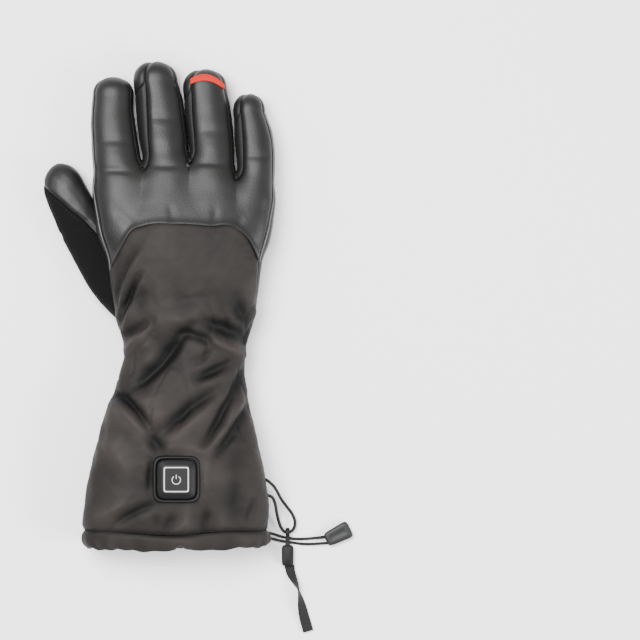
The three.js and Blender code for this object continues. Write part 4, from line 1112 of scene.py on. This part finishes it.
# %% Rounded slabs
def squared_ring(half_width, half_length, power, sides=96):
    """A rounded rectangle: cosine and sine in a power below one, times the two half sizes."""
    angle = np.arange(sides) / sides * math.tau
    return np.stack([half_width * signed_power(np.cos(angle), 2 / power),
                     half_length * signed_power(np.sin(angle), 2 / power)], -1)


def slab_rings(centre, half_width, half_length, power, rows, sides=96):
    """Each row of the table is an inset and a height, and gives one ring."""
    rings = []
    for inset, height in rows:
        ring = squared_ring(half_width - inset, half_length - inset, power, sides)
        rings.append(np.column_stack([ring + np.array(centre), np.full(sides, height)]))
    return np.array(rings)


def slab(name, rings, replaces=(), cyclic=False):
    """A closed body through the rings: fans over both ends, or round again for a frame with a hole."""
    if cyclic:
        count, sides, _ = rings.shape
        loop = np.concatenate([rings, rings[:1]])
        faces = grid_faces(count + 1, sides, closed=True) % (count * sides)
        return make_piece(name, rings.reshape(-1, 3), faces, replaces)
    points, faces = closed_tube(rings)
    return make_mixed(name, points, faces, replaces)


# %% [markdown]
# ## Heat control
# A soft rubber key sits in a raised rubber frame, moulded and glued onto the cloth. A light line runs round
# the key. The frame's inner wall stands 0.2 mm off the key, so a fine dark groove shows between them.

# %% The frame, the key and the light line
BUTTON_X, BUTTON_Y = 13.6, -120.4
SURROUND_SECTION = [
    (-0.4, 47.5), (0, 50.4), (0.3, 51.6), (0.8, 52.3), (1.3, 52.4), (1.8, 52.1), (2.1, 51.2), (2.3, 47.5),
]
CAP_SECTION = [
    (0.3, 47.8), (0, 51.4), (0.25, 52.3), (0.8, 52.9), (1.4, 53.3), (3.5, 54.5), (3.9, 54.68), (4.5, 54.72),
    (9.5, 54.72),
]
surround_rings = slab_rings((BUTTON_X, BUTTON_Y), 16.3, 16.3, 6, SURROUND_SECTION)
control_surround = slab("control_surround", surround_rings, ["control_surround"], cyclic=True)
cap_rings = slab_rings((BUTTON_X, BUTTON_Y), 13.8, 13.8, 5.6, CAP_SECTION)
heat_button = slab("heat_button", cap_rings, ["heat_button"])
LINE_SECTION = [(0, 54.3), (0, 54.9), (0.1, 55.0), (0.65, 55.0), (0.75, 54.9), (0.75, 54.3)]
line_rings = slab_rings((BUTTON_X, BUTTON_Y), 8.7, 8.7, 16, LINE_SECTION)
button_light_frame = slab("button_light_frame", line_rings, ["button_light_frame"], cyclic=True)

# %% [markdown]
# ### The power sign
# An open ring with a bar in its gap marks a power key anywhere. Both are thin tubes half sunk in the key's
# face.

# %% The power sign: an open ring and a bar
SIGN_RADIUS, SIGN_HEIGHT = 2.9, 54.5
arc_angle = np.radians(np.linspace(125, 415, 60))
arc = np.stack([BUTTON_X + SIGN_RADIUS * np.cos(arc_angle), BUTTON_Y - 0.3 + SIGN_RADIUS * np.sin(arc_angle),
                np.full(60, SIGN_HEIGHT)], -1)
bar = np.stack([np.full(8, BUTTON_X), BUTTON_Y + np.linspace(0.4, 3.4, 8), np.full(8, SIGN_HEIGHT)], -1)
sign_line = circle(0.34, 10)
sign_points, sign_faces = closed_tube(along_path(arc, sign_line))
bar_points, bar_faces = closed_tube(along_path(bar, sign_line))
sign_faces = sign_faces + [[corner + len(sign_points) for corner in face] for face in bar_faces]
power_sign = make_mixed("power_sign", np.concatenate([sign_points, bar_points]), sign_faces)

# %% [markdown]
# ## Trim: the coral band, the touch patch and the label
# A coral strip is sewn over the ring fingertip. A smooth patch with a double row of stitches lets the index
# finger work a screen, and a small woven label sits by the wrist on the palm side. Each is a thin sheet laid
# on the body by letting its grid fall onto the skin.


# %% Laid-on sheets
def sheet(name, grid, lift, thick):
    """A grid on the skin, lifted off it by that many mm and given its thickness downwards."""
    grid = grid + lift * outward(grid)
    piece = make_piece(name, grid.reshape(-1, 3), grid_faces(*grid.shape[:2])[:, ::-1], [name])
    thicken(piece, thick)
    return piece


BAND_LEFT, BAND_WIDE = 22.6, 23.0
FAR_ENDS, FAR_RISE = (158.6, 154.9), 4.95
NEAR_ENDS, NEAR_RISE = (154.9, 151.7), 4.0


def bowed(ends, rise, u):
    """A straight run between the two ends, raised in the middle by a parabola."""
    return ends[0] + (ends[1] - ends[0]) * u + 4 * rise * u * (1 - u)


u, v = np.meshgrid(np.linspace(0, 1, 60), np.linspace(0, 1, 10), indexing="ij")
near_edge = bowed(NEAR_ENDS, NEAR_RISE, u)
band_y = near_edge + (bowed(FAR_ENDS, FAR_RISE, u) - near_edge) * v
finger_band = sheet("finger_band", drop(BAND_LEFT + BAND_WIDE * u, band_y, 50.0, -1), 0.75, 1.0)

# %% [markdown]
# ### The touch patch
# The patch is a rounded rectangle on the underside of the fingertip. Its grid is made of rings that shrink
# towards the middle, so its rim is smooth, and it rises from below until it meets the skin.

# %% Patch under the index fingertip
PATCH_MIDDLE = np.array([-33.4, 138.8])
square = squared_ring(10.6, 13.9, 7, 120)
shrink = np.linspace(1, 0.02, 26)[:, None, None]
patch_xy = shrink * square[None] + PATCH_MIDDLE
patch_xy = np.concatenate([patch_xy, patch_xy[:, :1]], 1)
touch_patch = sheet(
    "index_touch_patch", drop(patch_xy[..., 0], patch_xy[..., 1], -20.0, 1), 0.6, 0.8)

# %% [markdown]
# ### The label
# A folded woven tab is sewn into the side of the wrist. It follows the ring of the cuff, a little outside
# it.

# %% The label
label_y, label_angle = np.meshgrid(
    np.linspace(-67.4, -51.6, 24), np.radians(np.linspace(298, 333, 30)), indexing="ij")
label_grid = ring_point(trunk_section(label_y), label_y, label_angle)
wrist_label = sheet("wrist_label", label_grid, 1.3, 0.9)

# %% [markdown]
# ## Keeper, strap and cord pull
# The keeper is a small moulding: an eye that hangs on the loop, a stem and a flat sleeve. The strap's webbing
# comes out of the sleeve, turns over once and ends in a stitched fold. The cord pull is a soft flat wedge
# that both strands of the drawcord enter.

# %% Keeper
KEEPER_X, KEEPER_TOP = 90.2, -169.0
EYE_RINGS, EYE_SIDES = 48, 20
ring_angle = np.linspace(0, math.tau, EYE_RINGS, endpoint=False)
eye_angle = np.linspace(0, math.tau, EYE_SIDES, endpoint=False)[None, :, None]
spoke = np.stack([np.zeros(EYE_RINGS), np.cos(ring_angle), np.sin(ring_angle)], -1)[:, None]
eye = np.array([KEEPER_X, -159.8, 3.6]) + spoke * (2.82 + 0.44 * np.cos(eye_angle))
eye = eye + 1.45 * np.sin(eye_angle) * np.array([1.0, 0, 0])
eye_count = EYE_RINGS * EYE_SIDES
eye_faces = grid_faces(EYE_RINGS + 1, EYE_SIDES, closed=True) % eye_count
stem_path = np.stack([np.full(14, KEEPER_X), np.linspace(-162.4, -170.5, 14), np.linspace(3.6, 3.1, 14)], -1)
stem_size = (1 + 0.5 * ease(np.linspace(0, 1, 14), 0.5, 1))[:, None, None]
stem_points, stem_faces = closed_tube(along_path(stem_path, squared_ring(1.5, 0.85, 4, 24)[None] * stem_size))
SLEEVE_SECTION = [(0.8, 0.3), (0.25, 0.5), (0, 1.1), (0, 4.3), (0.3, 5.0), (0.9, 5.3)]
sleeve_rings = slab_rings((KEEPER_X, KEEPER_TOP - 7.2), 4.2, 7.2, 6, SLEEVE_SECTION, 64)
sleeve_points, sleeve_faces = closed_tube(sleeve_rings)
keeper_points = np.concatenate([eye.reshape(-1, 3), stem_points, sleeve_points])
keeper_faces = eye_faces[:, ::-1].tolist()
keeper_faces += [[corner + eye_count for corner in face] for face in stem_faces]
keeper_faces += [[corner + eye_count + len(stem_points) for corner in face] for face in sleeve_faces]
leash_keeper = make_mixed("leash_keeper", keeper_points, keeper_faces, ["leash_keeper"])

# %% [markdown]
# ### The strap
# Webbing is a flat band with rounded edges. Its middle line lies on the table, and a turn that grows along
# the line flips it over once. Where it stands on its edge it needs more height, so the height follows from
# the turn. Its last stretch is folded double, and so twice as thick.

# %% Strap
# columns: x, y, share of the width, turn in degrees
STRAP = np.array([
    (92.4, -183.9, 0.95, 0), (93.1, -188.2, 0.9, 12), (94.6, -191.8, 0.88, 32), (96.4, -195.4, 0.88, 54),
    (98.1, -199.2, 0.88, 76), (99.3, -203.2, 0.88, 98), (100.2, -207.4, 0.9, 120), (101.1, -212.4, 0.93, 142),
    (102.2, -217.8, 0.97, 162), (103.8, -224, 1, 176), (105.6, -230.4, 1, 180),
])
STRAP[:, :2] += PART_SHIFT[:2]
LIGHTLY = np.array([1, 1, 0.01, 0.01])
strap_rows = resample(STRAP * LIGHTLY, 90) / LIGHTLY
strap_turn = np.radians(strap_rows[:, 3])
strap_half = STRAP_WIDE / 2 * strap_rows[:, 2]
strap_end = ease(strap_rows[:, 1], -226, -223.5)
strap_thick = 0.6 + 0.55 * (1 - strap_end)
strap_z = 0.3 + strap_half * np.abs(np.sin(strap_turn)) + strap_thick * np.abs(np.cos(strap_turn))
strap_path = np.column_stack([strap_rows[:, :2], strap_z])
webbing = squared_ring(1, 1, 5, 40)[None] * np.stack([strap_half, strap_thick], -1)[:, None]
strap_points, strap_faces = closed_tube(along_path(strap_path, webbing, -strap_turn))
leash_strap = make_mixed("leash_strap", strap_points, strap_faces, ["leash_strap"])

# %% [markdown]
# ### The cord pull
# The pull is a rounded slab that widens towards its free end, moulded in soft plastic over the ends of the
# two strands.

# %% Cord pull
PULL_START, PULL_TURN = np.array([119.6, -165.4]) + PART_SHIFT[:2], math.radians(26.5)
PULL_SECTION = [(1.3, 0.3), (0.5, 0.5), (0, 1.3), (0, 4.2), (0.45, 5.1), (1.3, 5.5), (3.2, 5.45), (4.2, 5.15)]
pull_rings = slab_rings((7.9, 0), 9.5, 5.2, 6, PULL_SECTION, 80)
pull_rings[..., 1] *= 0.98 + 0.26 * pull_rings[..., :1][..., 0] / 17.4
c, s = math.cos(PULL_TURN), math.sin(PULL_TURN)
pull_rings[..., :2] = pull_rings[..., :2] @ np.array([[c, s], [-s, c]]) + PULL_START
cord_end = slab("cord_end", pull_rings, ["cord_end"])

# %% [markdown]
# ## The cords' lengths
# The loop and both strands are limp and lie loose on the table. The strap is webbing, so its width is given
# as its diameter. The strands meet in the pull, which rides on the upper one. The lengths of the loop, the
# strap and both strands are worked out, and the lower strand is turned round.

# %% Cords with their real lengths
length_of(loop_path) * MM
length_of(strap_path) * MM
length_of(upper_path) * MM
lower_path = lower_path[::-1]
length_of(lower_path) * MM
print("strap", round(length_of(strap_path), 1), "mm")

# %% [markdown]
# ## Stitches and piping
# The seams are top-stitched with dark thread, and a thin piping stands along both edges. Each stitch is a
# small capsule laid along a seam line, a little way in from the edge, and all stitches of a row are one mesh.


# %% Rows of stitches
def capsule(sides=6, rings=6):
    """A small ball: rings from pole to pole, each a circle of the sine of its angle."""
    turn = np.linspace(0, math.pi, rings)[:, None]
    angle = np.arange(sides)[None] / sides * math.tau
    return np.stack([np.broadcast_to(-np.cos(turn), (rings, sides)), np.sin(turn) * np.cos(angle),
                     np.sin(turn) * np.sin(angle)], -1)


def stitch_row(name, line, out, pitch=3.0, long=2.1, thick=0.32):
    """Capsules along a line on the skin. Each lies along the line, is a little flattened, and is sunk to its
    middle in the skin."""
    line = np.asarray(line, float)
    far = np.concatenate([[0], np.cumsum(np.linalg.norm(np.diff(line, axis=0), axis=1))])
    at = np.arange(pitch / 2, far[-1] - pitch / 2, pitch)
    centre, ahead, behind = [np.stack([np.interp(q, far, line[:, k]) for k in range(3)], -1)
                             for q in (at, at + 0.5, at - 0.5)]
    up = np.stack([np.interp(at, far, out[:, k]) for k in range(3)], -1)
    way = ahead - behind
    way /= np.linalg.norm(way, axis=1, keepdims=True)
    up -= (up * way).sum(1, keepdims=True) * way
    up /= np.linalg.norm(up, axis=1, keepdims=True)
    side = np.cross(up, way)
    body = capsule()
    flat = body.reshape(-1, 3) * np.array([long / 2, thick, thick * 0.8])
    points = centre[:, None] + flat[None, :, :1] * way[:, None] + flat[None, :, 1:2] * side[:, None]
    points = points + flat[None, :, 2:] * up[:, None]
    faces = grid_faces(body.shape[0], body.shape[1], closed=True)
    count = points.shape[1]
    faces = (faces[None] + count * np.arange(len(at))[:, None, None]).reshape(-1, 4)
    return make_piece(name, points.reshape(-1, 3), faces)


def piping(name, line, out, radius, lift):
    """A thin tube along a seam, lifted off the skin by that many mm."""
    path = resample(np.asarray(line) + lift * np.asarray(out), int(length_of(line)))
    points, faces = closed_tube(along_path(path, circle(radius, 10)))
    return make_mixed(name, points, faces)


# %% [markdown]
# ### Seams of the back
# One row follows the arch over the hand, three rows run down the seen sides of the fingers, and piping
# stands along both edges of the hand.

# %% Stitches and piping of the back
arch_line = np.concatenate([grid[0][4, :-1] for grid in back_grids])
stitch_row("arch_stitches", arch_line, outward(arch_line), pitch=2.6, long=1.8, thick=0.36)
for i, label in ((1, "middle"), (2, "ring"), (3, "little")):
    keep = back_lanes[i][:, 0, 1] > CROTCHES[i - 1][1] + 5
    line = back_grids[i][0][:len(keep)][keep][:, 2]
    stitch_row(label + "_finger_stitches", line, outward(line), pitch=2.4, long=1.6, thick=0.32)
index_line = settle(back_lanes[0][:, 0])
piping("index_side_piping", index_line, outward(index_line), 0.62, -0.1)
little_line = settle(back_lanes[3][:, -1])
piping("little_side_piping", little_line, outward(little_line), 0.5, -0.3)

# %% [markdown]
# ### The rest of the stitches
# Two rows run along the thumb's seam, one on each side of it. One row closes the channel of the hem, and two
# square rows hold the touch patch.

# %% Stitches of the thumb, the hem and the patch
place = np.linspace(0.3, 0.9, 160)
for label, shift in (("inner", -0.13), ("outer", 0.12)):
    turn = seam_over(place) + shift
    line = thumb_point(place, turn) - 0.35 * thumb_outward(place, turn)
    stitch_row("thumb_stitches_" + label, line, thumb_outward(place, turn), pitch=2.6, long=1.7, thick=0.24)
hem_line = settle(hem_grid[3] + np.array([0, 2.6, 0]), rounds=3)
stitch_row("hem_stitches", hem_line, outward(hem_line), pitch=2.8, long=1.9, thick=0.24)
for label, share in (("outer", 0.93), ("inner", 0.83)):
    ring = square * share + np.array([-33.4, 138.8])
    ring = drop(ring[:, 0], ring[:, 1], -20.0, 1)
    ring += 0.62 * outward(ring)
    stitch_row("patch_stitches_" + label, ring, outward(ring), pitch=2.2, long=1.5, thick=0.22)

# %% [markdown]
# ## Finishes
# Leather has a fine pebbled grain and shines softly where it is stretched. The cuff's cloth is a close twill
# with a faint sheen, and its colour is painted lighter on the ridges of its folds, as highlight, and darker in
# them, as shade. Softshell is nearly black and dull. Three effects are shared by several materials, so each is
# a group: painted shade and highlight with random patches, the pebbled grain and the weave. Groups give only
# masks and normals, and each material mixes its own colours.


# %% Small tools for node trees
def put(tree, kind, values=None, **settings):
    """A node with its settings, and its sockets set by name or number."""
    node = tree.nodes.new(kind)
    for key, value in settings.items():
        setattr(node, key, value)
    for key, value in (values or {}).items():
        node.inputs[key].default_value = value
    return node


def new_group(name, inputs, outputs):
    """An empty shader node group with its sockets, and its two end nodes."""
    tree = bpy.data.node_groups.new(name, "ShaderNodeTree")
    for socket, value in inputs.items():
        tree.interface.new_socket(socket, in_out="INPUT", socket_type="NodeSocketFloat").default_value = value
    for socket, kind in outputs.items():
        tree.interface.new_socket(socket, in_out="OUTPUT", socket_type=kind)
    return tree, tree.nodes.new("NodeGroupInput"), tree.nodes.new("NodeGroupOutput")


# %% [markdown]
# ### Painted shade and highlight
# Valleys and seams are painted darker, as shade, and ridges lighter, as highlight. Each panel carries its
# relief as a value on its points, in millimetres, and the group turns it into a share between nought and one.
# Large soft patches of noise keep a wide panel from looking sprayed.

# %% Painted shade and highlight: ridges, valleys and large soft patches
shading_and_patches, shading_and_patches_in, shading_and_patches_out = new_group(
    "worn colour", {"Patch scale": 18.0, "Relief depth": 2.0},
    {"Ridge": "NodeSocketFloat", "Patches": "NodeSocketFloat"})
relief = put(shading_and_patches, "ShaderNodeAttribute", attribute_name="relief")
share = put(shading_and_patches, "ShaderNodeMath", operation="DIVIDE")
shading_and_patches.links.new(relief.outputs["Fac"], share.inputs[0])
shading_and_patches.links.new(shading_and_patches_in.outputs["Relief depth"], share.inputs[1])
# Nought in valleys and seams, where shade is painted, and one on ridges, where a highlight is painted
ridge = put(shading_and_patches, "ShaderNodeMath", {1: 0.5, 2: 0.5}, operation="MULTIPLY_ADD", use_clamp=True)
shading_and_patches.links.new(share.outputs[0], ridge.inputs[0])
place_node = put(shading_and_patches, "ShaderNodeTexCoord")
patches = put(shading_and_patches, "ShaderNodeTexNoise", {"Detail": 4.0, "Roughness": 0.55})
shading_and_patches.links.new(place_node.outputs["Object"], patches.inputs["Vector"])
shading_and_patches.links.new(shading_and_patches_in.outputs["Patch scale"], patches.inputs["Scale"])
shading_and_patches.links.new(ridge.outputs[0], shading_and_patches_out.inputs["Ridge"])
shading_and_patches.links.new(patches.outputs["Fac"], shading_and_patches_out.inputs["Patches"])

# %% [markdown]
# ### Grain of the leather
# Goatskin has small rounded pebbles with finer pores between them. Smooth Voronoi cells are the pebbles,
# and fine noise is the pores. Together they are a height for a bump.

# %% Pebbled grain: small cells, each with a soft edge, and finer pores
grain, grain_in, grain_out = new_group(
    "pebbled grain", {"Cells per metre": 900.0, "Strength": 0.25},
    {"Cells": "NodeSocketFloat", "Normal": "NodeSocketVector"})
place_node = put(grain, "ShaderNodeTexCoord")
cells = put(grain, "ShaderNodeTexVoronoi", {"Smoothness": 0.4}, feature="SMOOTH_F1")
pores = put(grain, "ShaderNodeTexNoise", {"Scale": 2600.0, "Detail": 2.0})
height = put(grain, "ShaderNodeMath", {2: 0.0}, operation="MULTIPLY_ADD")
bump = put(grain, "ShaderNodeBump", {"Distance": 0.0003})
grain.links.new(place_node.outputs["Object"], cells.inputs["Vector"])
grain.links.new(place_node.outputs["Object"], pores.inputs["Vector"])
grain.links.new(grain_in.outputs["Cells per metre"], cells.inputs["Scale"])
height.inputs[1].default_value = 0.35
grain.links.new(pores.outputs["Fac"], height.inputs[0])
grain.links.new(cells.outputs["Distance"], height.inputs[2])
grain.links.new(height.outputs[0], bump.inputs["Height"])
grain.links.new(grain_in.outputs["Strength"], bump.inputs["Strength"])
grain.links.new(cells.outputs["Distance"], grain_out.inputs["Cells"])
grain.links.new(bump.outputs["Normal"], grain_out.inputs["Normal"])

# %% [markdown]
# ### Weave of cloth and cords
# Woven cloth is two sets of threads that cross. Two band textures multiplied give the crossing, and fine
# noise breaks it up, because real threads are uneven.

# %% Weave: two sets of fine bands that cross, broken up by small noise
weave, weave_in, weave_out = new_group(
    "weave", {"Bands per metre": 420.0, "Strength": 0.3},
    {"Threads": "NodeSocketFloat", "Normal": "NodeSocketVector"})
place_node = put(weave, "ShaderNodeTexCoord")
THREAD_WAVES = {"Distortion": 0.6, "Detail": 1.0}
warp = put(weave, "ShaderNodeTexWave", THREAD_WAVES, wave_type="BANDS", bands_direction="DIAGONAL")
weft = put(weave, "ShaderNodeTexWave", THREAD_WAVES, wave_type="BANDS", bands_direction="X")
slub = put(weave, "ShaderNodeTexNoise", {"Scale": 700.0, "Detail": 3.0})
threads = put(weave, "ShaderNodeMath", operation="MULTIPLY")
uneven = put(weave, "ShaderNodeMath", {1: 0.6}, operation="MULTIPLY_ADD")
bump = put(weave, "ShaderNodeBump", {"Distance": 0.0002})
for bands in (warp, weft):
    weave.links.new(place_node.outputs["Object"], bands.inputs["Vector"])
    weave.links.new(weave_in.outputs["Bands per metre"], bands.inputs["Scale"])
weave.links.new(place_node.outputs["Object"], slub.inputs["Vector"])
weave.links.new(warp.outputs["Fac"], threads.inputs[0])
weave.links.new(weft.outputs["Fac"], threads.inputs[1])
weave.links.new(slub.outputs["Fac"], uneven.inputs[0])
weave.links.new(threads.outputs[0], uneven.inputs[2])
weave.links.new(uneven.outputs[0], bump.inputs["Height"])
weave.links.new(weave_in.outputs["Strength"], bump.inputs["Strength"])
weave.links.new(uneven.outputs[0], weave_out.inputs["Threads"])
weave.links.new(bump.outputs["Normal"], weave_out.inputs["Normal"])


# %% [markdown]
# ### One recipe
# All finishes share the same steps: two colours, painted shade for valleys and seams and painted highlight for
# ridges, mixed by the relief and its patches, a roughness that the patches move a little, and a normal from the
# grain or the weave. Values set apart leather, cloth, rubber and the rest.
# Blacks are low, from under 0.001 to about 0.02, as a black dye is in daylight.

# %% One recipe for all the finishes
def finish(name, valley, ridge_highlight_colour, roughness, surface, surface_values, relief_depth=2.0, spread=0.12,
           sheen=0.0, specular=0.5, patch_scale=18.0):
    """Two colours mixed by the relief and its patches: the first is painted shade for valleys and seams, the
    second painted highlight for ridges. The surface group gives the normal, and the patches move the
    roughness a little to both sides."""
    look = bpy.data.materials.new(name)
    look.use_nodes = True
    tree = look.node_tree
    shader = tree.nodes["Principled BSDF"]
    shading_and_patches_node = put(tree, "ShaderNodeGroup", node_tree=shading_and_patches)
    shading_and_patches_node.inputs["Relief depth"].default_value = relief_depth
    shading_and_patches_node.inputs["Patch scale"].default_value = patch_scale
    texture = put(tree, "ShaderNodeGroup", node_tree=surface)
    for key, value in surface_values.items():
        texture.inputs[key].default_value = value
    blend = put(tree, "ShaderNodeMath", {1: 0.35, 2: -0.17}, operation="MULTIPLY_ADD")
    total = put(tree, "ShaderNodeMath", operation="ADD", use_clamp=True)
    mix = put(tree, "ShaderNodeMix", data_type="RGBA")
    # A is the painted shade of valleys and seams, B the painted highlight of ridges
    mix.inputs["A"].default_value = (*valley, 1)
    mix.inputs["B"].default_value = (*ridge_highlight_colour, 1)
    rough = put(tree, "ShaderNodeMapRange", {"To Min": roughness - spread, "To Max": roughness + spread})
    tree.links.new(shading_and_patches_node.outputs["Patches"], blend.inputs[0])
    tree.links.new(shading_and_patches_node.outputs["Ridge"], total.inputs[0])
    tree.links.new(blend.outputs[0], total.inputs[1])
    tree.links.new(total.outputs[0], mix.inputs["Factor"])
    tree.links.new(mix.outputs["Result"], shader.inputs["Base Color"])
    tree.links.new(shading_and_patches_node.outputs["Patches"], rough.inputs["Value"])
    tree.links.new(rough.outputs["Result"], shader.inputs["Roughness"])
    tree.links.new(texture.outputs["Normal"], shader.inputs["Normal"])
    shader.inputs["Specular IOR Level"].default_value = specular
    shader.inputs["Sheen Weight"].default_value = sheen
    shader.inputs["Sheen Roughness"].default_value = 0.5
    return look


# %% [markdown]
# ### The finishes
# The three leathers differ in how much they shine. The cuff's cloth is a brown black with a weave, and
# softshell is darker and the dullest. Rubber, plastic, coral, elastic, thread and piping have their own
# colours, and the light line is a pale grey that doesn't glow.

# %% The finishes
GRAIN = {"Cells per metre": 950.0, "Strength": 0.22}
# In each finish the first colour is painted shade for valleys and seams and the second painted highlight for
# ridges; pieces without relief take about the middle of the two.
leather_look = finish(
    "leather", (0.0018, 0.0018, 0.0017), (0.0095, 0.0095, 0.0092), 0.46, grain, GRAIN, 2.4, 0.1, specular=0.28)
palm_look = finish(
    "palm leather", (0.0018, 0.0018, 0.0018), (0.009, 0.009, 0.009), 0.5, grain, GRAIN, 2.4, 0.1, specular=0.26)
strip_look = finish(
    "strip leather", (0.002, 0.002, 0.0019), (0.009, 0.009, 0.0087), 0.58, grain, GRAIN, 2.4, 0.1,
    specular=0.22)
cloth_look = finish("cuff cloth", (0.0007, 0.0006, 0.0005), (0.0215, 0.018, 0.0167), 0.62, weave,
                    {"Bands per metre": 420.0, "Strength": 0.25}, 2.7, 0.08, sheen=0.02, specular=0.14)
softshell_look = finish("softshell", (0.0015, 0.0015, 0.0015), (0.004, 0.004, 0.004), 0.9, weave,
                        {"Bands per metre": 700.0, "Strength": 0.4}, 2.5, 0.05, sheen=0.01, specular=0.1)
rubber_look = finish("rubber", (0.002, 0.002, 0.0022), (0.005, 0.005, 0.0054), 0.55, grain,
                     {"Cells per metre": 2200.0, "Strength": 0.08}, 2.0, 0.08, specular=0.2, patch_scale=60.0)
line_look = finish("light line", (0.4, 0.4, 0.4), (0.55, 0.55, 0.55), 0.4, grain,
                   {"Cells per metre": 2500.0, "Strength": 0.05}, 2.0, 0.05, patch_scale=90.0)
coral_look = finish("coral strip", (0.3, 0.006, 0.0025), (0.5, 0.012, 0.004), 0.6, weave,
                    {"Bands per metre": 600.0, "Strength": 0.3}, 2.0, 0.06, specular=0.2, patch_scale=80.0)
elastic_look = finish("elastic", (0.004, 0.0045, 0.004), (0.013, 0.014, 0.013), 0.75, weave,
                      {"Bands per metre": 330.0, "Strength": 0.7}, 2.0, 0.06, sheen=0.03, specular=0.2,
                      patch_scale=120.0)
plastic_look = finish("moulded plastic", (0.004, 0.0045, 0.0043), (0.012, 0.0135, 0.0126), 0.5, grain,
                      {"Cells per metre": 1800.0, "Strength": 0.1}, 2.0, 0.08, specular=0.3, patch_scale=90.0)
thread_look = finish("thread", (0.001, 0.001, 0.001), (0.004, 0.004, 0.004), 0.6, weave,
                     {"Bands per metre": 900.0, "Strength": 0.5}, 2.0, 0.06, specular=0.3, patch_scale=120.0)
piping_look = finish(
    "piping", (0.02, 0.02, 0.019), (0.06, 0.06, 0.057), 0.4, grain, GRAIN, 2.0, 0.1, patch_scale=60.0)

# %% [markdown]
# ### The label's two halves
# The label's upper half is grey. Its Object coordinate along the cuff is compared with one place, and the
# answer, nought or one, mixes the two colours.

# %% The label is red with a grey upper half
LABEL_FOLD = -58.5 * MM
label_look = finish("label", (0.4, 0.02, 0.025), (0.56, 0.03, 0.035), 0.7, weave,
                    {"Bands per metre": 800.0, "Strength": 0.4}, 2.0, 0.06, patch_scale=120.0)
tree = label_look.node_tree
place_node = put(tree, "ShaderNodeTexCoord")
split = put(tree, "ShaderNodeSeparateXYZ")
edge = put(tree, "ShaderNodeMath", {1: LABEL_FOLD}, operation="GREATER_THAN")
halves = put(tree, "ShaderNodeMix", data_type="RGBA")
halves.inputs["B"].default_value = (0.16, 0.16, 0.16, 1)
red = next(link for link in tree.links if link.to_socket.name == "Base Color").from_socket
tree.links.new(place_node.outputs["Object"], split.inputs[0])
tree.links.new(split.outputs["Y"], edge.inputs[0])
tree.links.new(edge.outputs[0], halves.inputs["Factor"])
tree.links.new(red, halves.inputs["A"])
tree.links.new(halves.outputs["Result"], tree.nodes["Principled BSDF"].inputs["Base Color"])

# %% [markdown]
# ### Handing out the finishes
# A piece's name says what it is made of, so the first key of the list that the name holds gives its finish.
# Stitches and piping have keys of their own.

# %% Each piece takes its finish
LOOKS = {
    "back_leather": leather_look, "palm_leather": palm_look, "fourchette": strip_look,
    "thumb_leather": leather_look, "thumb_softshell": softshell_look, "gauntlet": cloth_look,
    "hem_channel": cloth_look, "control_surround": rubber_look, "heat_button": rubber_look,
    "button_light_frame": line_look, "power_sign": line_look, "finger_band": coral_look,
    "index_touch_patch": palm_look, "wrist_label": label_look, "leash_loop": elastic_look,
    "leash_strap": elastic_look, "hem_cord": elastic_look, "leash_keeper": rubber_look,
    "cord_end": plastic_look, "stitches": thread_look, "piping": piping_look,
}
for piece in bpy.context.scene.objects:
    if piece.type == "MESH" and piece != floor:
        look = next((LOOKS[key] for key in LOOKS if key in piece.name), rubber_look)
        piece.data.materials.clear()
        piece.data.materials.append(look)
print("finishes:", len(bpy.data.materials))
